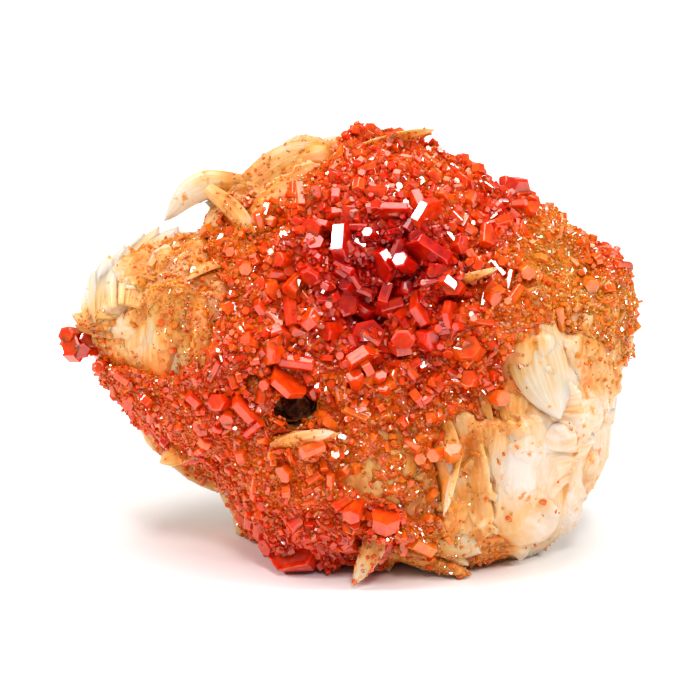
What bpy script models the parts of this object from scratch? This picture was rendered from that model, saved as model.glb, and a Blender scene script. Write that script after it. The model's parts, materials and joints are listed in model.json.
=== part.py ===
"""Vanadinite on baryte: red six-sided crystals grown over a broken lump of cream bladed baryte.

The lump lies on a flat cleavage face. Its best side, the show face, looks towards -Y and leans back.
Places on the specimen are given in millimetres in the show face's own directions, measured from HEART,
the middle of the lump: across (to the right), up (along the leaning face) and out (towards a viewer).
"""

import math
import random

import bmesh
import bpy
from mathutils import Matrix, Vector, noise
from mathutils.bvhtree import BVHTree

MM = 0.001
GAP = 0.3  # mm kept between solids that touch
SEED = 7

# ---- the show face's directions ----------------------------------------------------------------
LEAN = math.radians(18.0)
HEART = Vector((0.0, 0.0, 26.0)) * MM
ACROSS = Vector((1.0, 0.0, 0.0))
UP = Vector((0.0, math.sin(LEAN), math.cos(LEAN)))
OUT = Vector((0.0, -math.cos(LEAN), math.sin(LEAN)))

# ---- the lump of matrix ------------------------------------------------------------------------
DEPTH_OUT = 14.5  # mm from HEART to the front of the lump
DEPTH_BACK = 21.0
ROUNDNESS_OUT = 2.4  # exponent of the section: 2 is an ellipse, more is boxier
ROUNDNESS_BACK = 3.4
LUMP_FINENESS = 5  # icosphere subdivisions before thinning
LUMP_KEPT = 0.13  # share of the lump's triangles that the thinning keeps
FOOT_SPREAD = 0.3  # share by which the back reaches lower, so that the flat cut under it is broad
ROUGH_HEIGHT = 1.1  # mm, lumps and dents of the broken rock
ROUGH_SIZE = 7.0  # mm, from one of them to the next

# The specimen's outline on the show face, crust and all, (across, up) in mm, anticlockwise from the right.
OUTLINE = (
    (36.8, 0.5), (37.4, 6.8), (35.6, 11.0), (31.0, 14.2), (27.0, 17.2), (22.0, 18.8), (18.4, 20.0),
    (15.4, 23.0), (11.5, 25.6), (6.4, 27.2), (0.0, 28.0), (-5.0, 26.8), (-9.8, 23.6), (-14.8, 22.0),
    (-17.6, 18.8), (-19.4, 14.8), (-24.0, 14.2), (-28.6, 11.8), (-31.4, 7.8), (-33.4, 2.4),
    (-32.6, -0.8), (-30.8, -4.6), (-27.8, -8.4), (-23.2, -12.6), (-18.0, -14.6), (-15.2, -18.0),
    (-12.8, -22.0), (-9.0, -26.0), (-1.4, -27.6), (6.6, -27.8), (14.4, -27.4), (19.6, -26.2),
    (24.8, -24.2), (28.4, -21.2), (30.2, -16.4), (32.4, -10.4), (33.2, -4.6),
)  # fmt: skip

# Swellings (+) and hollows (-) of the front: (across, up, radius, height) in mm.
SWELLINGS = (
    (4.5, 6.0, 5.5, -3.0),
    (-8.0, -18.0, 8.0, 3.0),
    (-14.5, -4.0, 7.0, 2.0),
    (28.0, 11.5, 6.5, -5.0),
    (22.0, 2.5, 6.5, 3.0),
    (-16.0, 15.5, 6.0, -2.0),
    (6.5, 20.5, 7.0, 2.0),
    (15.6, -15.5, 5.0, -2.5),
    (25.0, -13.0, 7.0, 2.5),
    (6.5, -20.0, 6.0, 2.5),
    (-27.0, 2.5, 6.0, -2.0),
    (-24.0, 10.0, 6.0, 2.0),
    (33.0, 7.0, 4.0, 2.0),
    (12.0, 14.0, 6.0, 1.5),
)

# Cleavage faces that broke the lump off its rock: (distance from HEART in mm, normal).
CLEAVAGES = (
    (19.5, (0.15, 0.97, -0.10)),
    (23.5, (-0.55, 0.80, 0.10)),
    (27.0, (0.72, 0.62, 0.20)),
    (24.5, (0.10, 0.80, 0.55)),
    (24.0, (-0.35, 0.70, -0.60)),
    (27.5, (0.60, 0.45, -0.66)),
)

# Baryte blades: root (across, up, stand) and tip, sideways bow, width and thickness in mm, and the turn
# of the blade's flat about its length in degrees, where 0 faces outwards. A stand is measured from the
# lump's surface there, or from HEART's plane where the blade reaches past the lump's edge.
BLADES = (
    ("hook", (-13.5, 20.8, 0.5), (-23.6, 16.9, 4.0), -2.2, 3.0, 1.3, 15),
    ("hook_lens", (-18.0, 20.4, 3.5), (-12.6, 16.4, 1.2), 0.5, 2.6, 1.2, 10),
    ("upper_left_1", (-18.5, 13.0, 0.5), (-33.0, 7.6, 2.5), 0.8, 4.6, 1.4, 25),
    ("upper_left_2", (-19.5, 11.0, 1.2), (-34.6, 3.4, 3.5), 0.8, 5.5, 1.4, 10),
    ("upper_left_3", (-22.5, 12.0, 1.4), (-32.5, 2.0, 1.4), 0.6, 4.6, 1.3, -35),
    ("upper_left_4", (-25.5, 12.5, 0.8), (-31.5, 8.4, 2.0), 0.4, 3.6, 1.3, 35),
    ("upper_left_5", (-21.0, 8.0, 1.0), (-31.0, -2.0, 1.0), -0.6, 5.0, 1.4, -15),
    ("left_rib_1", (-23.0, 7.0, 0.9), (-25.0, -5.5, 0.7), 0.6, 5.4, 1.6, 38),
    ("left_rib_2", (-19.5, 5.5, 0.9), (-19.0, -3.0, 0.9), 0.4, 4.6, 1.5, 50),
    ("top_left_plate", (-14.5, 18.6, 0.8), (-3.8, 26.6, 1.4), 0.8, 4.8, 1.6, 25),
    ("top_left_plate_2", (-12.0, 16.5, 0.8), (-3.0, 23.5, 1.2), 0.8, 4.4, 1.5, -15),
    ("top_blade", (2.0, 26.0, 2.0), (10.6, 28.2, 3.5), 0.3, 3.0, 1.6, 60),
    ("right_leaf", (20.5, 7.0, -0.5), (28.2, -7.5, 1.2), -1.6, 8.0, 2.2, -8),
    ("right_leaf_2", (28.0, 1.5, 0.6), (33.8, -7.5, 2.0), 0.5, 6.0, 1.8, -25),
    ("right_leaf_3", (24.0, -3.0, 0.6), (29.5, -12.5, 1.4), 0.7, 6.0, 1.6, 20),
    ("centre_right_blade", (9.5, 7.0, -0.5), (18.4, 10.2, 3.0), 0.4, 3.6, 1.4, 65),
    ("fan_1", (14.0, -8.0, 0.6), (16.5, -25.5, 1.6), 0.8, 5.5, 1.5, 40),
    ("fan_2", (17.0, -9.0, 0.6), (21.5, -25.5, 1.6), 0.9, 5.5, 1.5, 20),
    ("fan_3", (19.5, -9.5, 0.8), (26.0, -23.5, 1.6), 0.7, 5.5, 1.5, 45),
    ("fan_4", (22.0, -9.5, 0.8), (29.0, -19.5, 1.6), 0.6, 5.5, 1.5, -25),
    ("fan_5", (25.5, -10.5, 0.6), (30.5, -16.0, 1.2), 0.5, 5.0, 1.5, 30),
    ("fan_6", (11.0, -11.5, 0.6), (12.0, -25.0, 1.2), 0.5, 4.5, 1.4, 60),
    ("needle_blade", (13.6, -12.0, 1.6), (11.6, -20.5, 2.4), 0.2, 2.4, 1.2, 60),
    ("foot_blade", (3.6, -22.5, 0.5), (0.7, -29.8, 10.5), 0.5, 3.2, 1.6, 25),
    ("foot_ledge", (4.5, -25.5, 0.0), (15.6, -29.0, 6.6), 0.5, 4.6, 1.8, 75),
    ("hollow_lip", (-9.4, -12.0, 0.6), (-1.5, -10.6, 3.2), 0.5, 3.8, 1.5, 55),
    ("hollow_side", (-12.6, -3.0, 0.9), (-11.3, -8.2, 1.9), 0.4, 2.6, 1.3, 20),
    ("left_low_tip", (-19.5, -12.0, 0.0), (-24.4, -14.4, 3.6), 0.2, 3.2, 1.4, 10),
)

# Broad plates of the broken back, given like the blades but with stands from the back's surface.
BACK_PLATES = (
    ("back_1", (-22.0, 4.0, 0.2), (-4.0, 14.0, 1.0), 1.0, 12.0, 3.0, 15),
    ("back_2", (-18.0, -8.0, 0.0), (4.0, 3.0, 1.2), 1.0, 12.0, 3.2, -15),
    ("back_3", (0.0, -16.0, 0.4), (20.0, -3.0, 0.8), 1.0, 12.0, 3.2, 14),
    ("back_4", (6.0, 4.0, 0.6), (27.0, 9.0, 0.6), 1.0, 11.0, 3.0, -16),
    ("back_5", (-6.0, 16.0, 0.2), (12.0, 23.0, 0.6), 0.8, 11.0, 3.0, 12),
    ("back_6", (-14.0, -20.0, 0.4), (2.0, -12.0, 0.8), 0.8, 10.0, 3.0, 10),
    ("back_7", (14.0, -16.0, 0.4), (28.0, -4.0, 0.6), 0.8, 9.0, 2.8, -14),
)

# ---- the hollow in the lower left of the show face: centre, half sizes and depth, in mm --------------
HOLLOW = (-6.9, -7.0, 13.5)
HOLLOW_HALF = (3.1, 2.4, 8.5)
HOLLOW_TURN = math.radians(28.0)

# ---- the vanadinite crust ----------------------------------------------------------------------
CRUST_THICKNESS = 1.3  # mm above the matrix
CRUST_ROUGHNESS = 0.7
# The crust's edge on the show face, (across, up) in mm.
CRUST_EDGE = (
    (42.0, 11.0), (28.0, 16.8), (23.5, 21.6), (17.0, 22.6), (12.0, 28.0), (3.0, 31.5), (-2.0, 25.5),
    (-8.5, 20.5), (-17.5, 18.0), (-18.5, 12.5), (-14.5, 6.5), (-17.5, 3.0), (-21.5, -3.5),
    (-33.0, -1.5), (-32.5, -9.5), (-23.0, -15.5), (-16.5, -22.5), (-13.0, -28.5), (-2.0, -28.5),
    (8.0, -28.0), (12.0, -28.5), (10.5, -21.5), (11.5, -10.5), (18.5, -8.0), (19.5, -1.0), (24.0, 3.5),
    (32.5, 1.0), (41.0, -4.5),
)  # fmt: skip
SMALL_CRYSTALS = 70
SMALL_ACROSS = (1.6, 3.2)  # mm
SMALL_SPACING = 2.6

# Large vanadinite crystals, by the group that they have grown together in. Each is (across, up), the
# crystal's width over its corners and its length in mm, the way its axis points (across, up, out), how
# far its middle stands out of the matrix, in mm, and its turn about its axis in degrees.
CENTRE = (
    ((-2.0, 12.7), 6.4, 1.8, (-0.75, 0.10, 0.60), 2.6, 0),
    ((-4.7, 13.2), 3.0, 2.2, (0.10, 0.50, 0.85), 2.0, 10),
    ((-5.2, 15.6), 2.6, 2.4, (0.40, 0.30, 0.80), 1.6, 0),
    ((5.2, 16.2), 5.8, 1.3, (-0.10, -0.55, 0.80), 2.2, 0),
    ((10.2, 16.3), 4.6, 1.8, (0.45, -0.25, 0.85), 3.4, 10),
    ((10.4, 11.7), 8.8, 2.2, (-0.50, -0.65, 0.55), 3.2, 0),
    ((6.9, 11.0), 2.0, 3.6, (0.05, 0.15, 1.00), 3.6, 0),
    ((4.6, 10.8), 6.2, 1.5, (-0.75, -0.45, 0.50), 2.6, 5),
    ((3.9, 7.0), 3.8, 2.4, (-0.60, -0.10, 0.80), 2.6, 20),
    ((6.6, 6.4), 3.2, 3.0, (0.20, 0.40, 0.90), 2.2, 0),
    ((-5.4, 6.8), 3.0, 4.8, (0.15, -0.60, 0.70), 1.8, 0),
    ((0.0, 8.4), 3.6, 3.0, (0.30, -0.20, 0.90), 1.0, 15),
    ((1.6, 2.2), 4.6, 1.9, (-0.25, 0.35, 0.90), 2.2, 0),
    ((0.9, -0.9), 4.8, 1.7, (0.50, -0.62, 0.60), 3.0, 0),
    ((9.2, 4.2), 4.8, 1.5, (0.35, 0.30, 0.88), 3.0, 10),
    ((7.4, 2.0), 3.2, 2.0, (-0.40, -0.10, 0.90), 3.0, 0),
    ((11.6, 3.8), 3.6, 1.2, (0.95, 0.05, 0.30), 2.2, 0),
    ((14.6, 0.7), 3.2, 1.8, (0.25, 0.50, 0.84), 2.4, 0),
)
UPPER_RIGHT = (
    ((21.6, 20.4), 4.4, 1.8, (0.35, 0.15, 0.93), 1.0, 20),
    ((18.8, 20.2), 2.6, 2.2, (-0.35, 0.60, 0.70), 1.4, 0),
    ((17.4, 17.8), 3.6, 2.0, (-0.20, 0.30, 0.90), 1.6, 10),
    ((18.6, 15.2), 3.2, 2.2, (0.30, 0.10, 0.90), 1.8, 0),
    ((21.4, 18.2), 3.4, 2.0, (0.20, -0.20, 0.90), 1.6, 0),
    ((24.2, 18.4), 1.9, 2.2, (0.60, 0.20, 0.70), 1.4, 0),
)
HOLLOW_TOP = (
    ((-8.2, -4.0), 5.2, 1.3, (0.30, 0.42, 0.84), 3.4, 0),
    ((-9.8, -0.4), 4.2, 1.6, (-0.55, 0.20, 0.80), 2.8, 10),
    ((-8.8, 2.0), 3.2, 2.0, (0.50, 0.30, 0.80), 2.0, 0),
)
HOLLOW_LEFT = (
    ((-13.0, -7.8), 5.4, 1.3, (0.48, 0.42, 0.76), 3.0, 5),
    ((-15.6, -6.0), 2.8, 1.8, (-0.30, 0.20, 0.90), 2.2, 0),
)
BOTTOM_PLATE = (
    ((-6.6, -25.2), 8.8, 2.1, (-0.12, 0.80, 0.56), 2.2, 8),
    ((-2.2, -26.4), 3.6, 2.4, (0.40, 0.10, 0.90), 0.8, 0),
    ((-5.0, -27.0), 3.4, 2.2, (0.10, -0.50, 0.80), 1.0, 20),
)
STEPPED_TABLET = (
    ((4.4, -22.4), 4.8, 2.0, (0.05, 0.52, 0.84), 2.4, 0),
    ((4.6, -21.2), 3.6, 2.6, (0.00, 0.55, 0.83), 2.8, 4),
)
BUTTONS = (
    ((-5.0, -22.2), 2.1, 2.6, (-0.10, 0.00, 1.00), 1.8, 0),
    ((-0.4, -23.2), 2.1, 2.6, (-0.20, -0.10, 0.97), 1.6, 12),
)
LEFT_TIP = (
    ((-35.8, 0.6), 2.7, 3.4, (-0.25, -0.85, 0.30), 2.6, 0),
    ((-36.0, 2.4), 2.3, 2.4, (-0.70, 0.30, 0.60), 2.6, 10),
    ((-34.0, 1.2), 2.6, 2.6, (0.20, 0.40, 0.90), 2.0, 0),
)
LEFT_EDGE = (
    ((-26.2, -7.2), 2.8, 2.0, (-0.40, 0.20, 0.85), 1.6, 0),
    ((-24.4, -8.4), 2.4, 2.0, (0.30, 0.50, 0.80), 1.6, 20),
)
LOW_LEFT_EDGE = (
    ((-13.6, -21.6), 3.0, 2.0, (-0.50, -0.30, 0.80), 1.4, 0),
    ((-11.6, -22.8), 2.4, 2.2, (-0.10, -0.40, 0.90), 1.6, 15),
)
RIGHT_RIM = (
    ((30.8, 8.4), 2.4, 1.8, (0.30, 0.50, 0.80), 1.6, 0),
    ((32.6, 12.0), 2.2, 1.8, (0.60, 0.40, 0.70), 1.4, 0),
)
TOP_CRYSTALS = (
    ((-6.4, 19.6), 2.0, 4.0, (0.10, -0.80, 0.60), 1.4, 0),
    ((0.4, 27.6), 2.2, 2.0, (-0.30, 0.60, 0.70), 1.6, 0),
    ((2.2, 28.4), 2.0, 2.4, (0.30, 0.80, 0.50), 1.2, 0),
    ((5.0, 27.4), 2.0, 2.0, (0.30, 0.60, 0.70), 1.4, 20),
)
LOW_RIGHT_CRYSTALS = (
    ((13.0, -13.0), 2.6, 1.8, (0.10, 0.20, 0.95), 1.8, 10),
    ((11.0, -13.0), 1.9, 1.8, (-0.60, 0.20, 0.80), 1.6, 0),
)
# Groups that have grown together with the crust, and groups that stand apart from it.
CRUST_GROUPS = (
    CENTRE,
    UPPER_RIGHT,
    HOLLOW_TOP,
    HOLLOW_LEFT,
    BOTTOM_PLATE,
    STEPPED_TABLET,
    BUTTONS,
    TOP_CRYSTALS,
    LOW_RIGHT_CRYSTALS,
    LOW_LEFT_EDGE,
    LEFT_EDGE,
    RIGHT_RIM,
)
LONE_GROUPS = {
    "vanadinite_left_tip": LEFT_TIP,
}
ROOT_DEPTH = 1.6  # mm that a crystal's root runs on below its middle, so that it reaches the matrix

# ---- materials: base colour, roughness ---------------------------------------------------------
BARYTE_CREAM = ((0.86, 0.70, 0.50, 1.0), 0.45)
VANADINITE_RED = ((0.62, 0.03, 0.015, 1.0), 0.15)
VANADINITE_ORANGE = ((0.72, 0.12, 0.02, 1.0), 0.25)


# ---- small tools -------------------------------------------------------------------------------
def at(across, up, out):
    """The point of the row frame, in metres, at those millimetres from HEART."""
    return HEART + (ACROSS * across + UP * up + OUT * out) * MM


def towards(across, up, out):
    return (ACROSS * across + UP * up + OUT * out).normalized()


def material(name, finish):
    colour, roughness = finish
    made = bpy.data.materials.new(name)
    made.use_nodes = True
    shader = made.node_tree.nodes["Principled BSDF"]
    shader.inputs["Base Color"].default_value = colour
    shader.inputs["Roughness"].default_value = roughness
    shader.inputs["Metallic"].default_value = 0.0
    return made


def new_object(name, bm, finish=None):
    """A linked object of that bmesh, which is freed. Its loose triangles and slivers are cleaned first."""
    mesh = bpy.data.meshes.new(name)
    bm.to_mesh(mesh)
    bm.free()
    made = bpy.data.objects.new(name, mesh)
    bpy.context.scene.collection.objects.link(made)
    if finish:
        mesh.materials.append(finish)
    return made


def apply_modifiers(obj):
    """The object's mesh becomes what its modifiers make of it."""
    bpy.context.view_layer.update()
    graph = bpy.context.evaluated_depsgraph_get()
    mesh = bpy.data.meshes.new_from_object(obj.evaluated_get(graph))
    obj.modifiers.clear()
    obj.data = mesh


def combine(obj, others, operation, solver="EXACT"):
    """Joins or cuts obj with each of the other objects in turn, which are then removed."""
    for other in others:
        boolean = obj.modifiers.new(operation.lower(), "BOOLEAN")
        boolean.operation = operation
        boolean.solver = solver
        boolean.object = other
        apply_modifiers(obj)
        bpy.data.objects.remove(other)


def keep_largest(obj):
    """Drops the chips that a cut leaves beside the main body."""
    bm = bmesh.new()
    bm.from_mesh(obj.data)
    unseen, islands = set(bm.verts), []
    while unseen:
        island, edge_of = set(), [unseen.pop()]
        while edge_of:
            vert = edge_of.pop()
            island.add(vert)
            for edge in vert.link_edges:
                other = edge.other_vert(vert)
                if other in unseen:
                    unseen.remove(other)
                    edge_of.append(other)
        islands.append(island)
    islands.sort(key=len)
    for island in islands[:-1]:
        bmesh.ops.delete(bm, geom=list(island), context="VERTS")
    bm.to_mesh(obj.data)
    bm.free()


def copy_of(obj):
    made = bpy.data.objects.new("copy", obj.data.copy())
    bpy.context.scene.collection.objects.link(made)
    return made


def on_surface(tree, across, up, stand=0.0, out=OUT):
    """The point that stands off the solid of that tree, seen from outside, or off HEART's plane."""
    here = at(across, up, 0.0)
    hit = tree.ray_cast(here + out * 60 * MM, -out)[0] or here
    return hit + out * stand * MM


def tree_of(obj):
    bpy.context.view_layer.update()
    return BVHTree.FromObject(obj, bpy.context.evaluated_depsgraph_get())


# ---- baryte ------------------------------------------------------------------------------------
def inside_crust(across, up):
    """Whether that point of the show face lies within the crust's edge."""
    inside = False
    for (x0, y0), (x1, y1) in zip(CRUST_EDGE, CRUST_EDGE[1:] + CRUST_EDGE[:1]):
        if (y0 > up) != (y1 > up) and across < x0 + (up - y0) / (y1 - y0) * (x1 - x0):
            inside = not inside
    return inside


def lump_reach(across, up):
    """How far the lump itself reaches towards that point of the outline: less where the crust covers it."""
    covered = inside_crust(across * 0.98, up * 0.98)
    return math.hypot(across, up) - (GAP + CRUST_THICKNESS if covered else 0.0)


def outline_radius(angle):
    """How far the lump reaches from HEART in the show face's plane, in mm, in that direction."""
    polar = sorted((math.atan2(up, across) % math.tau, lump_reach(across, up)) for across, up in OUTLINE)
    angle %= math.tau
    polar = [(polar[-1][0] - math.tau, polar[-1][1]), *polar, (polar[0][0] + math.tau, polar[0][1])]
    for (start, near), (end, far) in zip(polar, polar[1:]):
        if start <= angle <= end:
            share = (angle - start) / (end - start)
            return near + (far - near) * share * share * (3 - 2 * share)
    raise ValueError("the outline has no point near that direction")


def swelling(across, up):
    return sum(
        height * math.exp(-((across - x) ** 2 + (up - y) ** 2) / radius**2)
        for x, y, radius, height in SWELLINGS
    )


def lump(grow=0.0, rough_grow=0.0):
    """The broken lump, thinned to its faces and then grown outwards by that many millimetres."""
    bm = bmesh.new()
    bmesh.ops.create_icosphere(bm, subdivisions=LUMP_FINENESS, radius=1.0)
    for vert in bm.verts:
        across, up, out = vert.co.normalized()
        depth, power = (DEPTH_OUT, ROUNDNESS_OUT) if out > 0 else (DEPTH_BACK, ROUNDNESS_BACK)
        flat = math.hypot(across, up) / outline_radius(math.atan2(up, across))
        reach = (flat**power + (abs(out) / depth) ** power) ** (-1 / power)
        here = Vector((across, up, out)) * reach
        if out > 0:
            here.z += swelling(here.x, here.y) * min(1.0, out * 2.0)
        elif up < 0:
            here.y *= 1 + FOOT_SPREAD * min(1.0, -here.z / 8)
        rough = noise.fractal(here / ROUGH_SIZE, 1.0, 2.2, 4)
        here += Vector((across, up, out)) * rough * ROUGH_HEIGHT
        vert.co = at(*here)
    made = new_object("lump", bm)
    thinning = made.modifiers.new("thinning", "DECIMATE")
    thinning.ratio = LUMP_KEPT
    apply_modifiers(made)
    bm = bmesh.new()
    bm.from_mesh(made.data)
    bm.normal_update()
    shifts = [v.normal * (grow + rough_grow * noise.noise(v.co / 2.2 / MM)) * MM for v in bm.verts]
    for vert, shift in zip(bm.verts, shifts):
        vert.co += shift
    bm.to_mesh(made.data)
    bm.free()
    return made


def break_off(obj, grow=0.0):
    """Cuts the lump along its cleavage faces and along the flat that it rests on."""
    bm = bmesh.new()
    bm.from_mesh(obj.data)
    faces = [(HEART + Vector(n).normalized() * (d + grow) * MM, Vector(n)) for d, n in CLEAVAGES]
    faces.append((Vector((0.0, 0.0, -grow * MM)), Vector((0.0, 0.0, -1.0))))
    for point, normal in faces:
        everything = [*bm.verts, *bm.edges, *bm.faces]
        cut = bmesh.ops.bisect_plane(
            bm, geom=everything, plane_co=point, plane_no=normal.normalized(), clear_outer=True, dist=1e-7
        )
        rim = [e for e in cut["geom_cut"] if isinstance(e, bmesh.types.BMEdge)]
        if rim:
            bmesh.ops.contextual_create(bm, geom=rim)
    bmesh.ops.triangulate(bm, faces=bm.faces)
    bmesh.ops.recalc_face_normals(bm, faces=bm.faces)
    bm.to_mesh(obj.data)
    bm.free()


def blade(ground, name, root, tip, bow, width, thickness, turn, out=OUT, grow=0.0):
    """A baryte blade: a thin leaf with a lens-shaped section that bows to one side and narrows to its tip.

    ground is the lump's tree, and out the side of the lump that the blade lies on.
    """
    start, end = (on_surface(ground, *place, out) for place in (root, tip))
    along = (end - start).normalized()
    side = out.cross(along).normalized()
    side = Matrix.Rotation(math.radians(turn), 3, along) @ side
    flat = along.cross(side)
    # (share of the length, share of the width, share of the thickness)
    sections = ((0.0, 0.75, 1.0), (0.4, 1.0, 1.0), (0.85, 0.65, 0.75), (1.0, 0.16, 0.3))
    reach = (end - start).length
    bm = bmesh.new()
    bmesh.ops.create_circle(bm, cap_ends=True, segments=6, radius=1.0)
    end_face = next(iter(bm.faces))
    for number, (share, wide, thick) in enumerate(sections):
        if number:
            end_face = bmesh.ops.extrude_discrete_faces(bm, faces=[end_face])["faces"][0]
        stretch = (grow if number == len(sections) - 1 else -grow if not number else 0.0) * MM
        middle = start + along * (reach * share + stretch)
        middle += side * bow * MM * math.sin(math.pi * share)
        for step, vert in enumerate(end_face.verts):
            angle = step * math.tau / 6
            across = math.cos(angle) * (width / 2 * wide + grow)
            through = math.sin(angle) * (thickness / 2 * thick + grow) / math.sin(math.pi / 3)
            vert.co = middle + (side * across + flat * through) * MM
    bmesh.ops.holes_fill(bm, edges=[e for e in bm.edges if e.is_boundary])
    bmesh.ops.recalc_face_normals(bm, faces=bm.faces)
    return new_object("blade_" + name, bm)


def hollow_cutter(grow=0.0):
    """The rough hole in the lower left of the show face."""
    bm = bmesh.new()
    bmesh.ops.create_icosphere(bm, subdivisions=3, radius=1.0)
    turn = Matrix.Rotation(HOLLOW_TURN, 3, "Z")
    for vert in bm.verts:
        wobble = 1.0 + 0.28 * noise.noise(vert.co * 2.1)
        here = turn @ Vector(c * (half + grow) * wobble for c, half in zip(vert.co, HOLLOW_HALF))
        vert.co = at(*(here + Vector(HOLLOW)))
    bmesh.ops.recalc_face_normals(bm, faces=bm.faces)
    return new_object("hollow", bm)


def matrix_rock(name, grow=0.0, finish=None):
    """The lump with its blades. Grown, it is the tool that cuts crystals off where they meet it."""
    bare = lump()
    break_off(bare)
    ground = tree_of(bare)
    bpy.data.objects.remove(bare)
    rock = lump(grow)
    break_off(rock, grow)
    combine(rock, [blade(ground, *row, grow=grow) for row in BLADES], "UNION")
    combine(rock, [blade(ground, *row, out=-OUT, grow=grow) for row in BACK_PLATES], "UNION")
    combine(rock, [hollow_cutter(-grow)], "DIFFERENCE")
    keep_largest(rock)
    rock.name = name
    if finish:
        rock.data.materials.append(finish)
    return rock


def level_foot(obj, height=0.0):
    """Trims what reaches below the flat that the specimen rests on, or below a height in mm over it."""
    bm = bmesh.new()
    bmesh.ops.create_cube(bm, size=1.0)
    deep = 20 * MM
    bmesh.ops.scale(bm, vec=(0.2, 0.2, deep), verts=bm.verts)
    bmesh.ops.translate(bm, vec=(0.0, 0.0, height * MM - deep / 2), verts=bm.verts)
    combine(obj, [new_object("table", bm)], "DIFFERENCE")


# ---- vanadinite --------------------------------------------------------------------------------
def prism(centre, axis, width, length, turn, grow=0.0):
    """One six-sided crystal: its width over the corners, its length along its axis."""
    bm = bmesh.new()
    stand = axis.to_track_quat("Z", "Y").to_matrix().to_4x4()
    place = Matrix.Translation(centre) @ stand @ Matrix.Rotation(math.radians(turn), 4, "Z")
    bmesh.ops.create_cone(
        bm, cap_ends=True, segments=6, radius1=(width / 2 + grow) * MM, radius2=(width / 2 + grow) * MM,
        depth=(length + 2 * grow) * MM, matrix=place,
    )  # fmt: skip
    return new_object("crystal", bm)


def group_prisms(rows, tree, cover=0.0):
    """The crystals of one group. One that would hang clear of the rock and its cover gets a short stem."""
    made = []
    for (across, up), width, length, way, stand, turn in rows:
        axis = towards(*way)
        centre = on_surface(tree, across, up, stand)
        made.append(prism(centre, axis, width, length, turn))
        upright = abs(axis.dot(OUT))
        reach = length / 2 * upright + width * 0.4 * math.sqrt(1 - upright**2)
        if reach < stand - cover + 0.4:
            root = centre - OUT * (stand + ROOT_DEPTH) / 2 * MM
            made.append(prism(root, OUT, min(width, 2.6) * 0.8, stand + ROOT_DEPTH, turn + 20))
    return made


def joined(name, pieces, finish=None):
    first, *rest = pieces
    combine(first, rest, "UNION")
    first.name = name
    if finish:
        first.data.materials.append(finish)
    return first


def crust_zone():
    """A prism over the crust's edge, from HEART outwards."""
    bm = bmesh.new()
    edge = [bm.verts.new(at(across, up, -1.0)) for across, up in CRUST_EDGE]
    floor = bm.faces.new(edge)
    top = bmesh.ops.extrude_face_region(bm, geom=[floor])["geom"]
    moved = [v for v in top if isinstance(v, bmesh.types.BMVert)]
    bmesh.ops.translate(bm, vec=OUT * 60 * MM, verts=moved)
    bmesh.ops.triangulate(bm, faces=bm.faces)
    bmesh.ops.recalc_face_normals(bm, faces=bm.faces)
    return new_object("crust_zone", bm)


def small_crystals(tree):
    """Crystals of the crust, at least SMALL_SPACING apart, leaning at random round the way it faces."""
    rng = random.Random(SEED)
    made, places = [], []
    while len(made) < SMALL_CRYSTALS:
        across, up = rng.uniform(-33, 36), rng.uniform(-28, 30)
        lean = (rng.gauss(0, 0.5), rng.gauss(0, 0.5), 1.0)
        width, length = rng.uniform(*SMALL_ACROSS), rng.uniform(1.4, 2.6)
        turn = rng.uniform(0, 60)
        if not inside_crust(across, up):
            continue
        if any(math.dist((across, up), place) < SMALL_SPACING for place in places):
            continue
        hit, normal, _, _ = tree.ray_cast(at(across, up, 60.0), -OUT)
        if hit is None:
            continue
        axis = (normal + towards(*lean)).normalized()
        made.append(prism(hit + normal * CRUST_THICKNESS * MM, axis, width, length, turn))
        places.append((across, up))
    return made


def crust(tree, rock, finish):
    """The sheet of small crystals that coats the show face, with the large ones that grew in it."""
    sheet = lump(GAP + CRUST_THICKNESS, CRUST_ROUGHNESS)
    combine(sheet, [crust_zone()], "INTERSECT")
    combine(sheet, small_crystals(tree), "UNION")
    for rows in CRUST_GROUPS:
        combine(sheet, group_prisms(rows, tree, GAP + CRUST_THICKNESS), "UNION")
    combine(sheet, [hollow_cutter(GAP)], "DIFFERENCE")
    combine(sheet, [rock], "DIFFERENCE", "MANIFOLD")
    level_foot(sheet, GAP)
    keep_largest(sheet)
    sheet.name = "vanadinite_crust"
    sheet.data.materials.clear()
    sheet.data.materials.append(finish)
    return sheet


def main():
    for obj in list(bpy.data.objects):
        bpy.data.objects.remove(obj)
    cream = material("baryte_cream", BARYTE_CREAM)
    red = material("vanadinite_red", VANADINITE_RED)
    orange = material("vanadinite_orange", VANADINITE_ORANGE)

    rock = matrix_rock("baryte_matrix", finish=cream)
    level_foot(rock)
    tree = tree_of(rock)
    grown_rock = matrix_rock("grown_rock", GAP)
    crust(tree, copy_of(grown_rock), orange)
    for name, rows in LONE_GROUPS.items():
        group = joined(name, group_prisms(rows, tree), red)
        combine(group, [copy_of(grown_rock)], "DIFFERENCE")
        keep_largest(group)
    bpy.data.objects.remove(grown_rock)


main()
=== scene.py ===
# %% [markdown]
# # Vanadinite on baryte
# A specimen about as wide as a palm: a lump of cream, leafy baryte whose best side is crusted with
# thousands of red and orange six-sided vanadinite crystals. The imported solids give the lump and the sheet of
# the crust. This script dresses them: it carves the baryte into blades, turns the crust into a bed of real
# little crystals, and lights everything like a studio table.

import json
import math
import random

import bmesh
import bpy
import numpy as np
from mathutils import Matrix, Vector, noise
from mathutils.bvhtree import BVHTree

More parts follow.
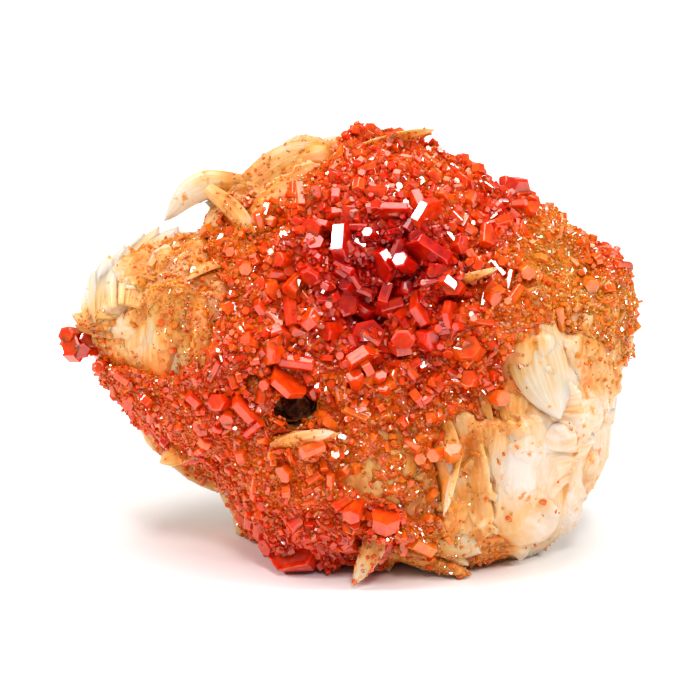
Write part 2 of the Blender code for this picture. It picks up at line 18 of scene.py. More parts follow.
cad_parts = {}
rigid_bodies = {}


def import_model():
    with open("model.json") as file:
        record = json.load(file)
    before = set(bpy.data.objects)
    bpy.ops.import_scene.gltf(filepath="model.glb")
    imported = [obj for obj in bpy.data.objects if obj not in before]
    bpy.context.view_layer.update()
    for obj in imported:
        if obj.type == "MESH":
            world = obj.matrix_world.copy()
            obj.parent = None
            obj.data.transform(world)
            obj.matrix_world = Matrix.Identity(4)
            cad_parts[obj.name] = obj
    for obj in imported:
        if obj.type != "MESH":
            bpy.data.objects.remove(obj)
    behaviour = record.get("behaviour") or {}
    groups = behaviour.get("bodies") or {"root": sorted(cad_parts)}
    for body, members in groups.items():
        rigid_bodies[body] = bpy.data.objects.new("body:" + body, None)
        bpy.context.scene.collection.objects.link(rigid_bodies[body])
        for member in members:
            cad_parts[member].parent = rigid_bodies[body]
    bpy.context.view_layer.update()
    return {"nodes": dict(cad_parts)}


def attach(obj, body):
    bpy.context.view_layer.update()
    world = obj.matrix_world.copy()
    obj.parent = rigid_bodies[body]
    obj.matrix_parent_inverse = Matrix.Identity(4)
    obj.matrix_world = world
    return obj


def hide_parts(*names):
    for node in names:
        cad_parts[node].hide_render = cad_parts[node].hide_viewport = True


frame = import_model()
MM = 0.001
print("solids:", sorted(frame["nodes"]))

# %% [markdown]
# The specimen's show face leans back, so it is easiest to think in its own directions: across, up along
# the leaning face, and out towards the viewer. Every place below is given that way, in millimetres from the
# heart of the lump, and one function turns it into a point of the scene.

# %% Directions of the show face
LEAN = math.radians(18.0)
HEART = Vector((0.0, 0.0, 26.0)) * MM
ACROSS = Vector((1.0, 0.0, 0.0))
UP = Vector((0.0, math.sin(LEAN), math.cos(LEAN)))
OUT = Vector((0.0, -math.cos(LEAN), math.sin(LEAN)))
SHOW_FACE = np.array([ACROSS, UP, OUT])


def at(across, up, out):
    return HEART + (ACROSS * across + UP * up + OUT * out) * MM


def towards(across, up, out):
    return (ACROSS * across + UP * up + OUT * out).normalized()


def face_places(points):
    """(across, up, out) in mm of many points given in metres."""
    return (np.asarray(points) - np.array(HEART)) @ SHOW_FACE.T / MM


print("the show face leans back by", round(math.degrees(LEAN)), "degrees")

# %% [markdown]
# A few small tools that every later step uses. The first two are for materials: one adds a node with its
# settings and links, and one turns the usual hex colours into the linear ones that the shader wants.

# %% Tools for nodes and colours
root = bpy.context.scene.collection


def node(tree, kind, inputs=None, **settings):
    """Adds a node. settings go on the node itself; inputs take a value or another node's output."""
    made = tree.nodes.new(kind)
    for name, value in settings.items():
        setattr(made, name, value)
    for name, value in (inputs or {}).items():
        if isinstance(value, bpy.types.NodeSocket):
            tree.links.new(value, made.inputs[name])
        else:
            made.inputs[name].default_value = value
    return made


def linear(hex_colour):
    """An sRGB hex colour as the linear RGBA that shaders read."""
    channels = [int(hex_colour[i : i + 2], 16) / 255 for i in (1, 3, 5)]
    return (*(c / 12.92 if c <= 0.04045 else ((c + 0.055) / 1.055) ** 2.4 for c in channels), 1.0)


print("mid grey is", [round(c, 3) for c in linear("#808080")])

# %% [markdown]
# The others are for meshes. A piece is worked on in bmesh or with modifiers and ends as plain mesh. Numbers
# that belong to its surface are kept on its points, and a search tree finds places on the rock.

# %% Tools for meshes
def piece_of(bm, name, material=None, smooth=False):
    """A linked object of that bmesh."""
    mesh = bpy.data.meshes.new(name)
    bm.to_mesh(mesh)
    bm.free()
    mesh.shade_smooth() if smooth else mesh.shade_flat()
    made = bpy.data.objects.new(name, mesh)
    root.objects.link(made)
    if material:
        mesh.materials.append(material)
    return made


def merged_copy(node_name, name):
    """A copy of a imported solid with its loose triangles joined."""
    bm = bmesh.new()
    bm.from_mesh(frame["nodes"][node_name].data)
    bmesh.ops.remove_doubles(bm, verts=bm.verts, dist=1e-6)
    return piece_of(bm, name)


def settle(obj):
    """Makes what the modifiers show the object's own mesh."""
    graph = bpy.context.evaluated_depsgraph_get()
    mesh = bpy.data.meshes.new_from_object(obj.evaluated_get(graph))
    obj.modifiers.clear()
    obj.data = mesh


def places_of(obj):
    co = np.empty(len(obj.data.vertices) * 3)
    obj.data.vertices.foreach_get("co", co)
    return co.reshape(-1, 3)


def normals_of(obj):
    ways = np.empty(len(obj.data.vertices) * 3)
    obj.data.vertex_normals.foreach_get("vector", ways)
    return ways.reshape(-1, 3)


def store(obj, name, values):
    """Keeps one number or one vector for each vertex, for the nodes to read."""
    vectors = values.ndim == 2
    kept = obj.data.attributes.new(name, "FLOAT_VECTOR" if vectors else "FLOAT", "POINT")
    kept.data.foreach_set("vector" if vectors else "value", values.astype(np.float32).ravel())


def keep_above_table(obj):
    """Flattens what would reach through the table."""
    places = places_of(obj)
    places[:, 2] = np.maximum(places[:, 2], 0.0)
    obj.data.vertices.foreach_set("co", places.ravel())
    obj.data.update()


def triangles(obj):
    return sum(len(p.vertices) - 2 for p in obj.data.polygons)


def tree_of(obj):
    return BVHTree.FromObject(obj, bpy.context.evaluated_depsgraph_get())


def on_surface(tree, across, up, stand=0.0, out=OUT):
    """The point that stands off the solid there, as seen from that side."""
    here = at(across, up, 0.0)
    hit = tree.ray_cast(here + out * 60 * MM, -out)[0] or here
    return hit + out * stand * MM


print("tools ready")

# %% [markdown]
# ## Where the crystals grow
# On the real specimen the crystals are not the same everywhere: the middle of the show face is a deep red
# tangle of large crystals, they get smaller and more orange outwards, and on a few blades they thin out to
# ochre dust. A painted mask could say so, but a short list of zones is easier to read and to change: each
# has a place, a reach, how far the crust covers the baryte, how red it is, and how coarse its crystals are.

# %% Zones of the crust
# (what, across, up, reach in mm, cover, redness, coarseness)
ZONES = (
    ("deep red middle", 5.0, 10.5, 5.5, 1.0, 0.95, 1.0),
    ("red left of it", -1.5, 9.5, 5.0, 1.0, 0.85, 1.0),
    ("above the middle", 0.5, 17.0, 4.5, 1.0, 0.62, 0.9),
    ("left shoulder of the middle", -6.5, 13.5, 4.0, 1.0, 0.6, 0.8),
    ("top sprigs", 3.5, 27.0, 4.0, 1.0, 0.5, 0.5),
    ("below the sprigs", 3.0, 22.0, 3.5, 1.0, 0.5, 0.6),
    ("slope to the right", 13.0, 22.0, 4.5, 1.0, 0.45, 0.4),
    ("upper right group", 19.5, 19.0, 3.5, 1.0, 0.66, 0.8),
    ("right shoulder", 26.5, 16.0, 3.5, 1.0, 0.24, 0.12),
    ("amber recess", 26.0, 10.5, 4.0, 1.0, 0.1, 0.06),
    ("rosy rim", 33.5, 13.0, 2.5, 1.0, 0.5, 0.4),
    ("right edge", 34.0, 2.5, 4.5, 0.5, 0.16, 0.1),
    ("right of the middle", 15.5, 9.0, 4.0, 0.95, 0.5, 0.6),
    ("right field", 21.5, 5.5, 4.0, 0.45, 0.3, 0.25),
    ("below the middle", 7.5, 1.5, 5.0, 1.0, 0.62, 0.9),
    ("right below", 16.0, -2.0, 4.0, 0.7, 0.46, 0.6),
    ("low middle", 5.0, -7.0, 5.0, 0.7, 0.42, 0.5),
    ("left of the middle", -8.0, 6.0, 5.0, 1.0, 0.5, 0.65),
    ("upper left field", -13.0, 17.0, 4.5, 0.6, 0.24, 0.2),
    ("orange left field", -13.5, 10.5, 4.5, 0.8, 0.36, 0.35),
    ("top left plates", -7.0, 22.5, 3.0, 0.5, 0.3, 0.25),
    ("ochre patch", -24.2, 8.4, 3.0, 1.0, 0.12, 0.05),
    ("left field", -19.0, 4.5, 3.8, 1.0, 0.42, 0.3),
    ("left tip", -35.0, 1.5, 2.5, 1.0, 0.62, 0.6),
    ("left edge", -30.0, -4.0, 3.5, 0.9, 0.42, 0.25),
    ("lower left", -22.0, -10.5, 4.5, 0.95, 0.46, 0.28),
    ("hollow", -7.0, -7.2, 1.7, 0.0, 0.3, 0.1),
    ("round the hollow", -13.0, -5.0, 4.5, 1.0, 0.54, 0.5),
    ("under the hollow", -9.0, -16.0, 5.0, 0.7, 0.4, 0.26),
    ("bottom left plate", -7.0, -25.0, 3.5, 1.0, 0.62, 0.7),
    ("bottom middle", 3.5, -22.0, 3.5, 0.65, 0.52, 0.5),
    ("tan field", 7.5, -14.5, 5.5, 0.38, 0.24, 0.22),
    ("ledge", 10.0, -26.0, 3.0, 0.85, 0.25, 0.15),
    ("cream lower right", 25.0, -15.0, 6.0, 0.04, 0.25, 0.1),
    ("fans at the lower right", 16.0, -19.5, 3.2, 0.34, 0.2, 0.1),
    ("druse at the foot", 17.0, -25.6, 2.0, 0.8, 0.22, 0.2),
    ("orange fibres", 18.5, -9.5, 3.0, 0.4, 0.24, 0.15),
    ("right leaf", 25.0, -1.0, 3.0, 0.02, 0.3, 0.1),
    ("left blades", -31.0, 8.0, 4.0, 0.08, 0.1, 0.05),
    ("left ribs", -26.0, 0.5, 2.8, 0.16, 0.26, 0.1),
    ("hook", -20.5, 20.0, 3.0, 0.02, 0.2, 0.1),
    ("top left cream", -3.5, 26.5, 2.0, 0.15, 0.2, 0.1),
)


def zone_fields(points):
    """Cover, redness and coarseness of the crust at many points, each 0 to 1."""
    places = face_places(points)
    total = np.full(len(places), 1e-9)
    sums = np.zeros((3, len(places)))
    for _, across, up, reach, *values in ZONES:
        away = (places[:, 0] - across) ** 2 + (places[:, 1] - up) ** 2
        weight = np.exp(-away / (2 * (reach * 0.75) ** 2)) + 1e-6 / (1 + away)
        total += weight
        sums += weight * np.array(values)[:, None]
    return sums / total


def lumpy(points, size, seed=0.0):
    """Smooth noise, about -1 to 1, whose lumps are that many millimetres across."""
    scaled = np.asarray(points) / (size * MM) + seed
    return np.array([noise.noise(Vector(p)) for p in scaled])


print(len(ZONES), "zones")

# %% [markdown]
# ## Materials
# **Vanadinite** is a lead mineral. Its lustre is adamantine, almost like a diamond's, because its refractive
# index is about 2.4: a facet mirrors a sixth of the light that falls on it straight, which makes
# the pink and white flashes. The body glows deep red because light enters and comes back out, so it gets a
# little subsurface scattering in red. One ramp runs from ochre over orange to crimson, and each crystal
# picks its own place on it, because no two real ones have quite the same colour. The shine is held well
# under the mineral's own, because a pale room mirrored at full strength would wash the red out.

# %% Colour of vanadinite
RED_RAMP = (
    (0.0, "#D98C3A"),
    (0.12, "#DC7A20"),
    (0.3, "#E06214"),
    (0.52, "#D8440E"),
    (0.76, "#BE1C0A"),
    (1.0, "#8E080C"),
)
VANADINITE_INDEX = 2.4
OWN_SHIFT = 0.26  # how far one crystal may stand from its neighbours on the ramp
CLOUD_SIZE = 1.1  # mm
CLOUD_SHIFT, CLOUD_MIDDLE = 0.6, -0.33
RED_DEPTHS = (1.0, 0.22, 0.08)  # red light gets far into the crystal, green and blue hardly
FACET_LEAN = 1.6  # how steeply the drawn facets of the bed lean
GROWTH_LINES = (120.0, 120.0, 4200.0)  # to the metre: lines about 0.15 mm apart round the prism


def ramp_of(tree, factor, stops):
    ramp = node(tree, "ShaderNodeValToRGB", {"Fac": factor})
    elements = ramp.color_ramp.elements
    while len(elements) < len(stops):
        elements.new(0.5)
    for element, (place, colour) in zip(elements, stops):
        element.position = place
        element.color = linear(colour)
    return ramp


def red_body(tree, place):
    """The crystal's own place on the ramp, and cloudy zones about a millimetre across inside it."""
    redness = node(tree, "ShaderNodeAttribute", attribute_name="redness")
    tint = node(tree, "ShaderNodeAttribute", attribute_name="tint")
    clouds = node(
        tree, "ShaderNodeTexNoise",
        {"Vector": place.outputs["Object"], "Scale": 1 / (CLOUD_SIZE * MM), "Detail": 2.0},
    )
    own = node(tree, "ShaderNodeMath", {0: tint.outputs["Fac"], 1: -0.5}, operation="ADD")
    own = node(
        tree, "ShaderNodeMath", {0: own.outputs[0], 1: OWN_SHIFT, 2: redness.outputs["Fac"]},
        operation="MULTIPLY_ADD",
    )
    haze = node(
        tree, "ShaderNodeMath", {0: clouds.outputs["Fac"], 1: CLOUD_SHIFT, 2: CLOUD_MIDDLE},
        operation="MULTIPLY_ADD",
    )
    factor = node(
        tree, "ShaderNodeMath", {0: own.outputs[0], 1: haze.outputs[0]}, operation="ADD", use_clamp=True
    )
    return ramp_of(tree, factor.outputs[0], RED_RAMP).outputs["Color"]


print("reds from", RED_RAMP[0][1], "to", RED_RAMP[-1][1])

# %% [markdown]
# Two kinds of relief are too small to model. The bed between the crystals is drawn as a patchwork of small
# flat faces that each lean their own way, so it glitters like crystals and not like skin. The large crystals
# get the fine growth lines that run round a real prism.

# %% Relief of vanadinite
def drawn_facets(tree, place, size):
    """Every cell of the pattern is one small flat face that leans its own way."""
    cells = node(tree, "ShaderNodeTexVoronoi", {"Vector": place.outputs["Object"], "Scale": 1 / (size * MM)})
    inside = node(
        tree, "ShaderNodeVectorMath", {0: place.outputs["Object"], 1: cells.outputs["Position"]},
        operation="SUBTRACT",
    )
    leaning = node(
        tree, "ShaderNodeVectorMath", {0: cells.outputs["Color"], 1: (-0.5, -0.5, -0.5)}, operation="ADD"
    )
    slope = node(
        tree, "ShaderNodeVectorMath", {0: inside.outputs[0], 1: leaning.outputs[0]}, operation="DOT_PRODUCT"
    )
    bump = node(
        tree, "ShaderNodeBump", {"Height": slope.outputs["Value"], "Strength": 1.0, "Distance": FACET_LEAN}
    )
    return bump.outputs["Normal"]


def growth_lines(tree):
    own_place = node(tree, "ShaderNodeAttribute", attribute_name="own_place")
    flat = node(tree, "ShaderNodeMapping", {"Vector": own_place.outputs["Vector"], "Scale": GROWTH_LINES})
    growth = node(tree, "ShaderNodeTexNoise", {"Vector": flat.outputs[0], "Scale": 1.0, "Detail": 1.0})
    bump = node(
        tree, "ShaderNodeBump", {"Height": growth.outputs["Fac"], "Strength": 0.35, "Distance": 0.05 * MM}
    )
    return bump.outputs["Normal"]


def adamantine_vanadinite(name, roughness, glow, depth, shine, facets=0.0, lines=False):
    """Lead vanadate crystals: mirror-bright facets on a red body that light soaks into.

    glow is how much of the light soaks in, and depth how far in mm. facets is the size in mm of the drawn
    faces, if there are any.
    """
    made = bpy.data.materials.new(name)
    made.use_nodes = True
    tree = made.node_tree
    shader = tree.nodes["Principled BSDF"]
    place = node(tree, "ShaderNodeTexCoord")
    tree.links.new(red_body(tree, place), shader.inputs["Base Color"])
    if facets:
        tree.links.new(drawn_facets(tree, place, facets), shader.inputs["Normal"])
    if lines:
        tree.links.new(growth_lines(tree), shader.inputs["Normal"])
    shader.inputs["Roughness"].default_value = roughness
    shader.inputs["IOR"].default_value = VANADINITE_INDEX
    shader.inputs["Subsurface Weight"].default_value = glow
    shader.inputs["Subsurface Radius"].default_value = RED_DEPTHS
    shader.inputs["Subsurface Scale"].default_value = depth * MM
    shader.inputs["Specular IOR Level"].default_value = shine
    return made


# the druse is all glitter, the bed under it a glowing ground, and the tablets mirror like glass
druse_red = adamantine_vanadinite("vanadinite_druse", roughness=0.12, glow=0.75, depth=1.6, shine=0.17)
bed_red = adamantine_vanadinite(
    "vanadinite_bed", roughness=0.14, glow=0.75, depth=1.8, shine=0.22, facets=0.4
)
tablet_red = adamantine_vanadinite(
    "vanadinite_tablets", roughness=0.06, glow=0.78, depth=1.9, shine=0.25, lines=True
)
print("vanadinite:", druse_red.name, bed_red.name, tablet_red.name)

# %% [markdown]
# ** Baryte** here is cream and soft-looking. Each blade is a thin cleavage leaf, so its surface has a silky
# grain along the blade. Light travels a few millimetres through it, which softens every edge. Iron oxide
# and vanadinite dust stain it tan and orange in patches, and speckle it where the crust thins out. Deep in
# the hollow it is painted dark brown, the deeper the darker: that brown is painted shade.

# %% Baryte
BARYTE_STOPS = (
    (0.0, "#C8741C"),
    (0.2, "#D6923C"),
    (0.44, "#DDAE74"),
    (0.72, "#DBC1A4"),
    (1.0, "#DDCFC2"),
)
STAIN_STOPS = ((0.35, "#EEB060"), (0.6, "#E8933A"), (0.8, "#E27A26"))
# painted shade: the dark brown that the hollow is painted, as if shade fell into it
HOLLOW_SHADE_COLOUR = "#7A4224"
BARYTE_INDEX = 1.64
FIBRES = (190.0, 2100.0, 900.0)  # to the metre, along, across and into a blade: about 0.5 by 5 mm
PATCH_SIZE = 6.0  # mm
STAIN_SIZE, SPECK_SIZE = 3.2, 0.75  # mm
CREAM_DEPTHS = (1.0, 0.8, 0.62)  # red light gets a little further into baryte than blue
# how much each moves the colour along the ramp, and what brings their sum back to the ramp's middle
FIBRES_WEIGH, PATCHES_WEIGH, DUST_WEIGHS = 0.9, 1.0, -1.05
EVEN_OUT = -0.24
DUST_GATHERS, CLUSTERS_GATHER = 0.22, 0.9  # how far dust and clusters bring out the specks
SPECK_LIMIT, SPECK_LEVEL, SPECK_SHARPNESS = -0.68, -0.45, 6.0


def bladed_baryte(name):
    """Cream baryte with a silky grain along its blades, tan staining, orange crystal dust, and painted shade
    in the hollow.
    """
    made = bpy.data.materials.new(name)
    made.use_nodes = True
    tree = made.node_tree
    shader = tree.nodes["Principled BSDF"]
    place = node(tree, "ShaderNodeTexCoord")
    grain = node(tree, "ShaderNodeAttribute", attribute_name="grain_place")
    dust = node(tree, "ShaderNodeAttribute", attribute_name="dust")
    # painted shade: how far each point of the hollow is painted dark brown
    hollow_shade = node(tree, "ShaderNodeAttribute", attribute_name="painted_hollow_shade")
    tint = node(tree, "ShaderNodeAttribute", attribute_name="tint")
    # silky fibres and broad patches make it paler, and dust makes it darker
    along = node(tree, "ShaderNodeMapping", {"Vector": grain.outputs["Vector"], "Scale": FIBRES})
    fibres = node(tree, "ShaderNodeTexNoise", {"Vector": along.outputs[0], "Scale": 1.0, "Detail": 3.0})
    patches = node(
        tree, "ShaderNodeTexNoise",
        {"Vector": place.outputs["Object"], "Scale": 1 / (PATCH_SIZE * MM), "Detail": 3.0},
    )
    pale = tint.outputs["Fac"]
    for reader, weight in ((fibres, FIBRES_WEIGH), (patches, PATCHES_WEIGH), (dust, DUST_WEIGHS)):
        sum_of = node(
            tree, "ShaderNodeMath", {0: reader.outputs["Fac"], 1: weight, 2: pale}, operation="MULTIPLY_ADD"
        )
        pale = sum_of.outputs[0]
    pale = node(tree, "ShaderNodeMath", {0: pale, 1: EVEN_OUT}, operation="ADD", use_clamp=True)
    cream = ramp_of(tree, pale.outputs[0], BARYTE_STOPS)
    # orange stain in specks under a millimetre across, which gather in clusters where there is dust
    clusters = node(
        tree, "ShaderNodeTexNoise",
        {"Vector": place.outputs["Object"], "Scale": 1 / (STAIN_SIZE * MM), "Detail": 1.0},
    )
    specks = node(
        tree, "ShaderNodeTexNoise",
        {"Vector": place.outputs["Object"], "Scale": 1 / (SPECK_SIZE * MM), "Detail": 1.5},
    )
    near = node(
        tree, "ShaderNodeMath", {0: dust.outputs["Fac"], 1: DUST_GATHERS, 2: SPECK_LIMIT},
        operation="MULTIPLY_ADD",
    )
    near = node(
        tree, "ShaderNodeMath", {0: clusters.outputs["Fac"], 1: CLUSTERS_GATHER, 2: near.outputs[0]},
        operation="MULTIPLY_ADD",
    )
    near = node(tree, "ShaderNodeMath", {0: near.outputs[0], 1: specks.outputs["Fac"]}, operation="ADD")
    speck = node(tree, "ShaderNodeMath", {0: near.outputs[0], 1: SPECK_LEVEL}, operation="ADD")
    speck = node(
        tree, "ShaderNodeMath", {0: speck.outputs[0], 1: SPECK_SHARPNESS}, operation="MULTIPLY",
        use_clamp=True,
    )
    oranges = ramp_of(tree, clusters.outputs["Fac"], STAIN_STOPS)
    dusted = node(
        tree, "ShaderNodeMix", {0: speck.outputs[0], 6: cream.outputs["Color"], 7: oranges.outputs["Color"]},
        data_type="RGBA",
    )
    # painted shade: the hollow is painted dark brown over the cream, where shade falls into it
    darkened = node(
        tree, "ShaderNodeMix", {0: hollow_shade.outputs["Fac"], 6: dusted.outputs[2], 7: linear(HOLLOW_SHADE_COLOUR)},
        data_type="RGBA",
    )
    tree.links.new(darkened.outputs[2], shader.inputs["Base Color"])
    bump = node(
        tree, "ShaderNodeBump", {"Height": fibres.outputs["Fac"], "Strength": 0.5, "Distance": 0.18 * MM}
    )
    tree.links.new(bump.outputs["Normal"], shader.inputs["Normal"])
    shader.inputs["Roughness"].default_value = 0.42
    shader.inputs["IOR"].default_value = BARYTE_INDEX
    shader.inputs["Subsurface Weight"].default_value = 0.5
    shader.inputs["Subsurface Radius"].default_value = CREAM_DEPTHS
    shader.inputs["Subsurface Scale"].default_value = 2.2 * MM
    return made


cream_baryte = bladed_baryte("baryte_bladed")
print("baryte:", cream_baryte.name)

# %% [markdown]
# ## The lump of baryte
# The real lump is a mass of thin blades that grew in sheaves: within a sheaf they lie like the pages of a
# book, and each sheaf points its own way. It could be sculpted by hand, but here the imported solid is
# remeshed finely and pushed in and out in code: every point belongs to its nearest sheaf, and its height
# follows the edge of the page that it is on. A short list says which way the blades run on the show face.

# %% Sheaves of blades
# (across, up) and the way that the blades run there, across and up
BLADE_WAYS = (
    ((-30.0, 7.0), (-0.9, -0.45)),
    ((-23.0, 11.0), (-0.9, -0.35)),
    ((-26.0, -1.0), (-0.2, -1.0)),
    ((-20.0, 2.0), (0.05, -1.0)),
    ((-20.0, 19.0), (-0.9, 0.0)),
    ((-13.0, 19.5), (0.7, 0.6)),
    ((-6.0, 25.0), (0.8, 0.55)),
    ((6.0, 27.0), (1.0, 0.15)),
    ((22.0, 3.0), (0.35, -0.95)),
    ((27.0, -3.0), (0.45, -0.9)),
    ((14.0, -10.0), (0.15, -1.0)),
    ((13.0, -20.0), (0.05, -1.0)),
    ((20.0, -16.0), (0.35, -0.95)),
    ((26.0, -14.0), (0.65, -0.75)),
    ((31.0, -8.0), (0.75, -0.6)),
    ((5.0, -15.0), (0.25, -1.0)),
    ((-4.0, -20.0), (-0.2, -1.0)),
    ((10.0, -27.0), (0.95, -0.25)),
    ((-14.0, -14.0), (-0.5, -0.85)),
    ((33.0, 5.0), (0.2, -1.0)),
)
SHEAVES = 130
SHEAF_SEED = 11
SPARE_DRAWS = 2  # nothing uses them, but without them every sheaf would lie elsewhere


def blade_way(place, normal, rng):
    """The way that blades run at a place on the lump, along its surface."""
    if normal.dot(OUT) > -0.1:
        nearest = min(BLADE_WAYS, key=lambda row: math.dist(row[0], place[:2]))[1]
        way = towards(nearest[0] + rng.gauss(0, 0.18), nearest[1] + rng.gauss(0, 0.18), rng.gauss(0, 0.15))
    else:
        way = Vector((rng.gauss(0, 1), rng.gauss(0, 0.4), rng.gauss(0, 0.6)))
    return (way - normal * way.dot(normal)).normalized()


def sheaves_on(tree):
    """Sheaves strewn over the lump: each a centre, the way of its blades, the way across them, and a lift."""
    rng = random.Random(SHEAF_SEED)
    made = []
    while len(made) < SHEAVES:
        ray = Vector((rng.gauss(0, 1), rng.gauss(0, 1), rng.gauss(0, 1))).normalized()
        hit, normal, _, _ = tree.ray_cast(HEART + ray * 0.1, -ray)
        if hit is None:
            continue
        way = blade_way(face_places([hit])[0], normal, rng)
        pages = (normal.cross(way) + normal * rng.uniform(-0.5, 0.9)).normalized()
        made.append((hit, way, pages, rng.uniform(0.0, 0.45)))
        for _ in range(SPARE_DRAWS):
            rng.random()
    return made


lump = merged_copy("baryte_matrix", "baryte_lump")
rock_tree = tree_of(lump)
sheaves = sheaves_on(rock_tree)
print(len(sheaves), "sheaves")

# %% [markdown]
# Within a sheaf the blades are laid out like uneven bricks. Each brick gets a centre, a height and a tilt
# from a number that is always the same for it, and every point takes the height of the nearest one.

# %% Blades of a sheaf
BLADE_LENGTH = 11.0  # mm
BLADE_WIDTH = 3.4


def hashed(*numbers):
    """A number from 0 to 1 that is always the same for the same whole numbers."""
    mixed = sum(n * k for n, k in zip(numbers, (12.9898, 78.233, 37.719, 11.135)))
    return np.modf(np.abs(np.sin(mixed)) * 43758.5453)[0]


def blades_of(run, across, sheaf):
    """How high the blades stand at a place along and across its sheaf, in mm, and each blade's own number."""
    along, beside = run / BLADE_LENGTH, across / BLADE_WIDTH
    best = np.full(len(run), 1e9)
    height, own = np.zeros(len(run)), np.zeros(len(run))
    for i in (-1, 0, 1):
        for j in (-1, 0, 1):
            row, column = np.floor(along) + i, np.floor(beside) + j
            centre = row + hashed(row, column, sheaf), column + hashed(column, row, sheaf, 3.0)
            u, v = along - centre[0], beside - centre[1]
            distance = u**2 + v**2
            number = hashed(row, column, sheaf, 7.0)
            crown = 0.75 * (1 - np.clip(np.abs(v) * 1.3, 0, 1) ** 2)
            tilt = (hashed(row, column, sheaf, 13.0) - 0.5) * 1.4 * v
            stands = 0.5 * number + 0.45 * u + crown + tilt
            closer = distance < best
            best = np.where(closer, distance, best)
            height = np.where(closer, stands, height)
            own = np.where(closer, number, own)
    return np.clip(height, -0.3, 1.6), own


print("a blade is", BLADE_LENGTH, "by", BLADE_WIDTH, "mm")

# %% [markdown]
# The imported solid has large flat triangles, so it first gets a fine even skin. A voxel remesh makes one of
# 0.5 mm, and where the baryte shows on the front every face is cut in four once more. Finer everywhere would
# cost time and triangles where nobody looks.

# %% A fine skin for the lump
LUMP_VOXEL = 0.52 * MM
BARE_COVER = 0.6  # the baryte shows where the crust covers less than this
FACES_OUT = 0.1  # how squarely a face must look at the viewer to count as front, from 0 to 1

remesh = lump.modifiers.new("fine skin", "REMESH")
remesh.mode = "VOXEL"
remesh.voxel_size = LUMP_VOXEL
settle(lump)


def refine(obj, wanted):
    """Cuts every face in four whose corners are all wanted."""
    bm = bmesh.new()
    bm.from_mesh(obj.data)
    bm.verts.ensure_lookup_table()
    edges = {e for f in bm.faces if all(wanted[v.index] for v in f.verts) for e in f.edges}
    bmesh.ops.subdivide_edges(bm, edges=list(edges), cuts=1, use_grid_fill=True, smooth=0.3)
    bmesh.ops.triangulate(bm, faces=[f for f in bm.faces if len(f.verts) > 4])
    bm.to_mesh(obj.data)
    bm.free()


shows = zone_fields(places_of(lump))[0] < BARE_COVER
refine(lump, shows & (normals_of(lump) @ np.array(OUT) > FACES_OUT))
points, ways = places_of(lump), normals_of(lump)
places, facing = face_places(points), ways @ np.array(OUT)
print("skin of the lump:", len(points), "points")

# %% [markdown]
# Every point of the skin is given to its nearest sheaf. A little noise is added first, so that the borders
# between sheaves run unevenly, as they do where crystals grew against each other.

# %% Which sheaf each point belongs to
AT_ONCE = 8192  # points, so that the table of distances stays small
WARP_SEEDS = (0.0, 31.7, 77.1)

centres = np.array([s[0] for s in sheaves])
nearest = np.empty(len(points), dtype=int)
warp = np.stack([lumpy(points, 2.6, seed) for seed in WARP_SEEDS], axis=1) * 1.3 * MM
for start in range(0, len(points), AT_ONCE):
    part = slice(start, start + AT_ONCE)
    away = ((points[part] + warp[part])[:, None, :] - centres[None]) ** 2
    nearest[part] = away.sum(axis=2).argmin(axis=1)
sheaf_way = np.array([s[1] for s in sheaves])[nearest]
sheaf_pages = np.array([s[2] for s in sheaves])[nearest]
sheaf_lift = np.array([s[3] for s in sheaves])[nearest]
inside = points - centres[nearest]
run = (inside * sheaf_way).sum(axis=1) / MM
thick = (inside * sheaf_pages).sum(axis=1) / MM
print("sheaves in use:", len(np.unique(nearest)))

# %% [markdown]
# Seen from outside, a sheaf is a field of blades about 11 mm long and 3 mm wide. Each is crowned across,
# rises towards its tip and ends in a sharp drop, as broken leaves lie over each other. Under the crust the
# lump is left plain, because nothing of it shows there, and where the rock is thin the relief is held back,
# so that the hook and the points keep their shape.

# %% How high the blades stand
PAGE_FLOOR = 0.25  # mm that bare baryte stands over the solid, so that it hides the crust's thin edge
LAMINA_DEPTH = 0.22
THIN_ROCK, FULL_RELIEF = 1.5, 4.5  # mm of rock where the relief starts, and how much more gives all of it
LEAST_RELIEF, FRONT_RELIEF, BACK_RELIEF = 0.12, 0.7, 1.1
RIM_ABOVE = 4  # mm up the show face, over which the outline is kept calm

cover, redness, _ = zone_fields(points)
front = np.clip(facing * 2.5 + 0.6, 0, 1)
cover = cover * front
height, page_own = blades_of(
    run + 0.5 * lumpy(points, 3.0, 5.3), thick + 0.35 * lumpy(points, 2.2, 1.3), nearest
)
laminae = np.abs(lumpy(np.stack([run * 0.12, thick, nearest * 5.0], axis=1) * MM, 0.9, 2.0))
crease = np.clip(0.75 - height, 0, 1)
height = height + sheaf_lift + PAGE_FLOOR - LAMINA_DEPTH * laminae
solid_depth = np.full(len(points), 20.0)
for index, (point, way) in enumerate(zip(points, ways)):
    point, way = Vector(point), Vector(way)
    hit = rock_tree.ray_cast(point - way * 0.6 * MM, -way)[0]
    solid_depth[index] = (hit - point).length / MM if hit else 20.0
firm = np.clip((solid_depth - THIN_ROCK) / FULL_RELIEF, 0.0, 1.0)
rim = np.clip(np.abs(facing) / 0.45, 0.25, 1)
relief = LEAST_RELIEF + np.where(facing > FACES_OUT, FRONT_RELIEF, BACK_RELIEF) * firm
height = height * relief * np.where(places[:, 1] > RIM_ABOVE, rim, 1.0)
print("blades stand up to", round(float(height.max()), 2), "mm")

# %% [markdown]
# The skin is moved out by those heights. The hollow keeps the solid's walls, but its floor is raised and
# roughened, because a clean deep cup would look drilled. Then the front is smoothed a few times: real
# cleavage leaves have soft worn edges there, while the back stays rough.

# %% Moving the skin
HOLLOW = (-6.9, -7.0)
HOLLOW_REACH = 4.6  # mm
HOLLOW_FLOOR = 11.8  # mm out from the heart
SMOOTHINGS = 7  # the first is for all of it, the others for the front

